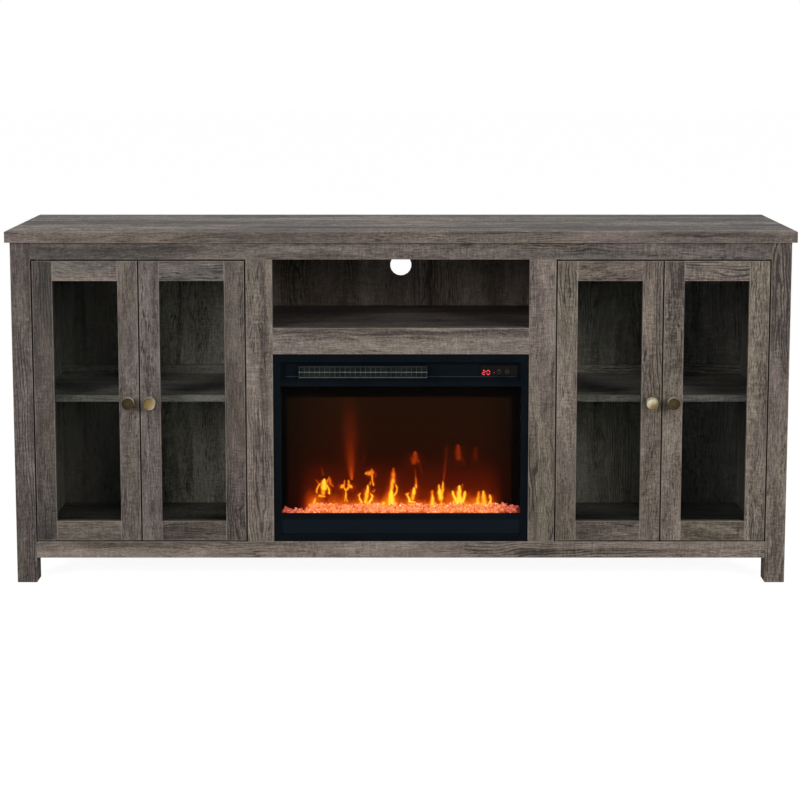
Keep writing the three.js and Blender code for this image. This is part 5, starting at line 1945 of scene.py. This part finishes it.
@dataclass
class EmberBed:
    """The heap of glass chips in front of the screen.

    Attributes:
        chips: How many chips it has.
        batch: How many are joined at a time.
        shapes: How many shapes of chip there are.
        seed: The seed of their places, sizes and tones.
        chip_low: The smallest chip's radius.
        chip_high: The largest chip's radius.
        front_rise: The heap's height at its front.
        back_rise: How much higher it is at its back.
        left_drop: How much lower it is at its left end.
        left_slope: Where that drop is full, and where it begins.
        wave: How high its small waves are.
        lift: How far below and above its surface a chip's middle may be, in the chip's radii.
        tones: The darkest and the lightest chip's tone.
        painted_top_light: How much lighter the top of a chip is made than its middle, as painted light from
            above.
        facets: How far the tones of its faces differ by chance.
        bed_below: How far the bed under the chips is below the surface, in millimetres.
        bed_least: The least height of that bed.
        bed_gap_shade: Its tone, kept low as painted shade in the gaps between the chips.
    """

    chips: int = 1080
    batch: int = 60
    shapes: int = 6
    seed: int = 11
    chip_low: float = 3.0 * MM
    chip_high: float = 6.2 * MM
    front_rise: float = 9.5 * MM
    back_rise: float = 11.5 * MM
    left_drop: float = 10.0 * MM
    left_slope: tuple[float, float] = (-0.224, -0.205)
    wave: float = 1.8 * MM
    lift: tuple[float, float] = (-0.9, 0.25)
    tones: tuple[float, float] = (0.26, 0.68)
    painted_top_light: float = 0.15
    facets: float = 0.11
    bed_below: tuple[float, float] = (3, 5.5)
    bed_least: float = 1.5 * MM
    bed_gap_shade: float = 0.2

    def __post_init__(self) -> None:
        """Read the heap's box from the frame."""
        self.low, self.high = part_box("ember_bed")

    def height(self, x: float, share: float) -> float:
        """Tell how high the heap stands above its shelf.

        Args:
            x: A place along it.
            share: A share of its depth, from the front.

        Returns:
            The height.
        """
        rise = self.front_rise + self.back_rise * share
        waves = math.sin(x * 61) + 0.6 * math.sin(x * 137 + share * 3) + 0.6 * math.sin(x * 331)
        full, begun = self.left_slope
        dropped = max(0.0, min(1.0, (begun - x) / (begun - full)))
        return rise + self.wave * waves - self.left_drop * dropped

    def build(self) -> None:
        """Model the chips and their underlayer, and let them replace the CAD heap."""
        rng = random.Random(self.seed)
        masters = [self.chip_shape(index) for index in range(self.shapes)]
        batches = []
        for first in range(0, self.chips, self.batch):
            chips = [self.lay_chip(masters[i % self.shapes], rng) for i in range(first, first + self.batch)]
            batches.append(Bench.join("ember_batch", chips))
        for master in masters:
            bpy.data.objects.remove(master)
        heap = Bench.join("ember_chips", [*batches, self.underlayer()])
        settle(heap, "stand", Chips("lit_chips", self.high.x))
        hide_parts("ember_bed")

    def lay_chip(self, master: Piece, rng: random.Random) -> Piece:
        """Lay one chip on the heap.

        Args:
            master: The chip's shape, of about unit radius.
            rng: The source of its place, turn, size and tone.

        Returns:
            The chip.
        """
        low, high = self.low, self.high
        share = rng.random() ** 0.9
        radius = rng.uniform(self.chip_low, self.chip_high)
        x = rng.uniform(low.x + radius, high.x - radius)
        y = low.y + radius + (high.y - low.y - 2 * radius) * share
        z = low.z + self.height(x, share) + rng.uniform(*self.lift) * radius
        z = max(low.z + radius, min(high.z - radius, z))
        spin = Euler([rng.uniform(0, math.tau) for _ in range(3)]).to_matrix().to_4x4()
        chip = Bench.copy("chip", master, Matrix.Translation((x, y, z)) @ spin @ Matrix.Scale(radius, 4))
        own = rng.uniform(*self.tones)
        tones = []
        for face in chip.data.polygons:
            rise = (face.center.z - z) / radius
            # Painted light: a chip's upper faces are made lighter.
            tones.append(own + self.painted_top_light * rise + rng.uniform(-self.facets, self.facets))
        self.tone_faces(chip, tones)
        return chip

    @staticmethod
    def tone_faces(piece: Piece, tones: Sequence[float]) -> None:
        """Store one tone for each face, for the chips' light."""
        tone = piece.data.attributes.new("chip", "FLOAT", "FACE")
        tone.data.foreach_set("value", tones)

    @staticmethod
    def chip_shape(index: int) -> Piece:
        """Model one broken chip of about unit radius: a ball squeezed, jolted and split flat.

        Args:
            index: Which of the shapes it is.

        Returns:
            The chip.
        """
        bpy.ops.object.select_all(action="DESELECT")
        bpy.ops.mesh.primitive_ico_sphere_add(subdivisions=1, radius=0.95)
        piece = Bench.added("chip_master")
        with Bench.editing():
            squeeze = (1.0, 0.62 + 0.06 * (index % 4), 0.72 + 0.05 * (index % 3))
            bpy.ops.transform.resize(value=squeeze, center_override=(0, 0, 0))
            bpy.ops.transform.vertex_random(offset=0.17, uniform=1.0, normal=0.0, seed=index + 3)
            bpy.ops.mesh.select_all(action="SELECT")
            plane = {"plane_co": (0.42, 0, 0.1), "plane_no": (0.9, 0.25 * index, 0.4)}
            bpy.ops.mesh.bisect(**plane, use_fill=True, clear_outer=True)
        return piece

    def underlayer(self) -> Piece:
        """Model the closed bed of fine chips under the top layer.

        Returns:
            The bed.
        """
        low, high = self.low, self.high
        bpy.ops.object.select_all(action="DESELECT")
        bpy.ops.mesh.primitive_grid_add(x_subdivisions=160, y_subdivisions=12, size=1)
        bpy.context.object.scale = (high.x - low.x, high.y - low.y, 1)
        bpy.context.object.location = ((low.x + high.x) / 2, (low.y + high.y) / 2, low.z)
        piece = Bench.added("underlayer")
        rng = random.Random(self.seed + 1)
        for vertex in piece.data.vertices:
            share = (vertex.co.y - low.y) / (high.y - low.y)
            below = rng.uniform(*self.bed_below) * MM
            vertex.co.z = low.z + max(self.bed_least, self.height(vertex.co.x, share) - below)
        with Bench.editing():
            bpy.ops.mesh.extrude_region_move(TRANSFORM_OT_translate={"value": (0, 0, -0.05)})
            bpy.ops.transform.resize(value=(1, 1, 0), center_override=(0, 0, low.z + 0.3 * MM))
        # Painted shade: the bed's low tone darkens the gaps between the chips.
        self.tone_faces(piece, [self.bed_gap_shade] * len(piece.data.polygons))
        return piece


@dataclass
class Studio:
    """The pale floor, the soft lamps, the white surround and the camera.

    Attributes:
        camera_place: Where the camera stands.
        camera_pitch: How far it looks down.
        focal_pixels: Its focal length in the picture's pixels.
        frame_pixels: The picture's width.
        lens_shift: Its lens shift, as a share of the picture.
        floor_size: How wide and deep the floor is.
        floor_drop: How far it is below the stand's feet.
        floor_white: How brightly it shows to the camera.
        ambient: The strength of the surround's light.
        lamp_power: The power of each lamp.
        lamp_place: Where the right lamp hangs. The left one mirrors it.
        lamp_size: The lamps' width and height.
        lamp_aim: The point that they look at.
    """

    camera_place: Point = (-0.002, -4.125, 1.230)
    camera_pitch: float = math.radians(6.363)
    focal_pixels: float = 1767.4
    frame_pixels: float = 800.0
    lens_shift: float = -0.2
    floor_size: float = 60
    floor_drop: float = 0.2 * MM
    floor_white: float = 0.935
    ambient: float = 0.3
    lamp_power: float = 92.0
    lamp_place: Point = (2.7, -2.7, 1.75)
    lamp_size: tuple[float, float] = (1.0, 1.4)
    lamp_aim: Point = (0, 0, 0.4)

    def build(self) -> None:
        """Set up everything round the object."""
        bpy.context.scene.view_settings.view_transform = "Standard"
        self.add_floor()
        self.light_surround()
        for side in (-1, 1):
            self.add_lamp(side)
        self.add_camera()

    def add_floor(self) -> None:
        """Lay a pale floor that keeps the object's shadow."""
        bpy.ops.object.select_all(action="DESELECT")
        bpy.ops.mesh.primitive_plane_add(size=self.floor_size, location=(0, 0, -self.floor_drop))
        floor = Bench.added("floor")
        material = bpy.data.materials.new("pale_floor")
        g = blank(material)
        at = g.add("TexCoord").outputs["Object"]
        speck = g.mix(g.noise(at, 3.0), (0.8, 0.8, 0.8), (0.84, 0.84, 0.84))
        diffuse = g.add("BsdfDiffuse", {"Color": speck})
        faint = g.add("BsdfDiffuse", {"Color": (0.2, 0.2, 0.2)})
        white = g.add("Emission", {"Color": (1, 1, 1), "Strength": self.floor_white})
        seen = g.add("AddShader", {0: faint.outputs[0], 1: white.outputs[0]})
        camera_ray = g.add("LightPath").outputs["Is Camera Ray"]
        both = g.add("MixShader", {0: camera_ray, 1: diffuse.outputs[0], 2: seen.outputs[0]})
        g.add("OutputMaterial", {"Surface": both.outputs[0]})
        dress(floor, material)

    def light_surround(self) -> None:
        """Make the surround white to look at, and softer as a source of light."""
        world = bpy.data.worlds.new("studio")
        bpy.context.scene.world = world
        g = blank(world)
        path = g.add("LightPath").outputs
        mirrored = g.math("MAXIMUM", path["Is Glossy Ray"], path["Is Transmission Ray"])
        seen = g.math("MAXIMUM", path["Is Camera Ray"], mirrored)
        soft = g.add("Background", {"Color": (0.97, 0.98, 1.0), "Strength": self.ambient})
        white = g.add("Background", {"Color": (1, 1, 1), "Strength": 1.0})
        both = g.add("MixShader", {0: seen, 1: soft.outputs[0], 2: white.outputs[0]})
        g.add("OutputWorld", {"Surface": both.outputs[0]})

    def add_lamp(self, side: int) -> None:
        """Hang one soft lamp before the object, off to one side.

        Args:
            side: 1 for the right, and -1 for the left.
        """
        data = bpy.data.lights.new(f"side_lamp_{side + 1}", "AREA")
        data.shape = "RECTANGLE"
        data.size, data.size_y = self.lamp_size
        data.energy = self.lamp_power
        lamp = bpy.data.objects.new(data.name, data)
        x, y, z = self.lamp_place
        lamp.location = (side * x, y, z)
        aim = Vector(self.lamp_aim) - lamp.location
        lamp.rotation_euler = aim.to_track_quat("-Z", "Y").to_euler()
        bpy.context.scene.collection.objects.link(lamp)

    def add_camera(self) -> None:
        """Set the camera near the photograph's, tilted in place of a part of its lens shift."""
        data = bpy.data.cameras.new("camera")
        data.sensor_fit = "HORIZONTAL"
        data.sensor_width = 36
        data.lens = self.focal_pixels / self.frame_pixels * data.sensor_width
        data.shift_y = self.lens_shift
        camera = bpy.data.objects.new("camera", data)
        camera.location = self.camera_place
        camera.rotation_euler = (math.pi / 2 - self.camera_pitch, 0, 0)
        bpy.context.scene.collection.objects.link(camera)
        bpy.context.scene.camera = camera


# For each door its name, whether its pins are at the left, its boards' tones and coolness, their
# contrast and first seed, its knob's darkness (a darkened finish and a painted reflection), its
# spread and the way of its painted highlight.
DOORS: tuple[tuple[Any, ...], ...] = (
    (
        "left_outer", True, (-0.27, -0.19, -0.06, -0.19), (0.7, 0.6, 0.9, 0.2),
        0.9, 101, 0.97, 0.06, (0.3, 0.9),
    ),
    (
        "left_inner", False, (-0.22, -0.13, -0.07, -0.33), (0.2, 0.7, 0.9, 0.4),
        0.95, 111, 0.56, 0.3, (0.9, -0.3),
    ),
    (
        "right_inner", True, (-0.13, -0.07, -0.16, -0.23), (0.1, 0.0, 0.1, 0.1),
        1.1, 121, 0.32, 0.8, (-0.5, 0.85),
    ),
    (
        "right_outer", False, (-0.08, -0.05, -0.17, -0.11), (0.0, 0.1, 0.5, 0.0),
        1.25, 131, 0.95, 0.06, (-0.3, 0.9),
    ),
)


def main() -> None:
    """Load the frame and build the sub-assemblies in order."""
    logging.basicConfig(level=logging.INFO, format="%(name)s: %(message)s")
    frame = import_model()
    nodes = frame["nodes"]
    parts = (Studio(), Carcass(nodes), *(Door(nodes, *sizes) for sizes in DOORS), Insert(nodes), EmberBed())
    for part in parts:
        part.build()
        LOG.info("%s built", type(part).__name__)
    bpy.context.view_layer.update()


if __name__ == "__main__":
    main()
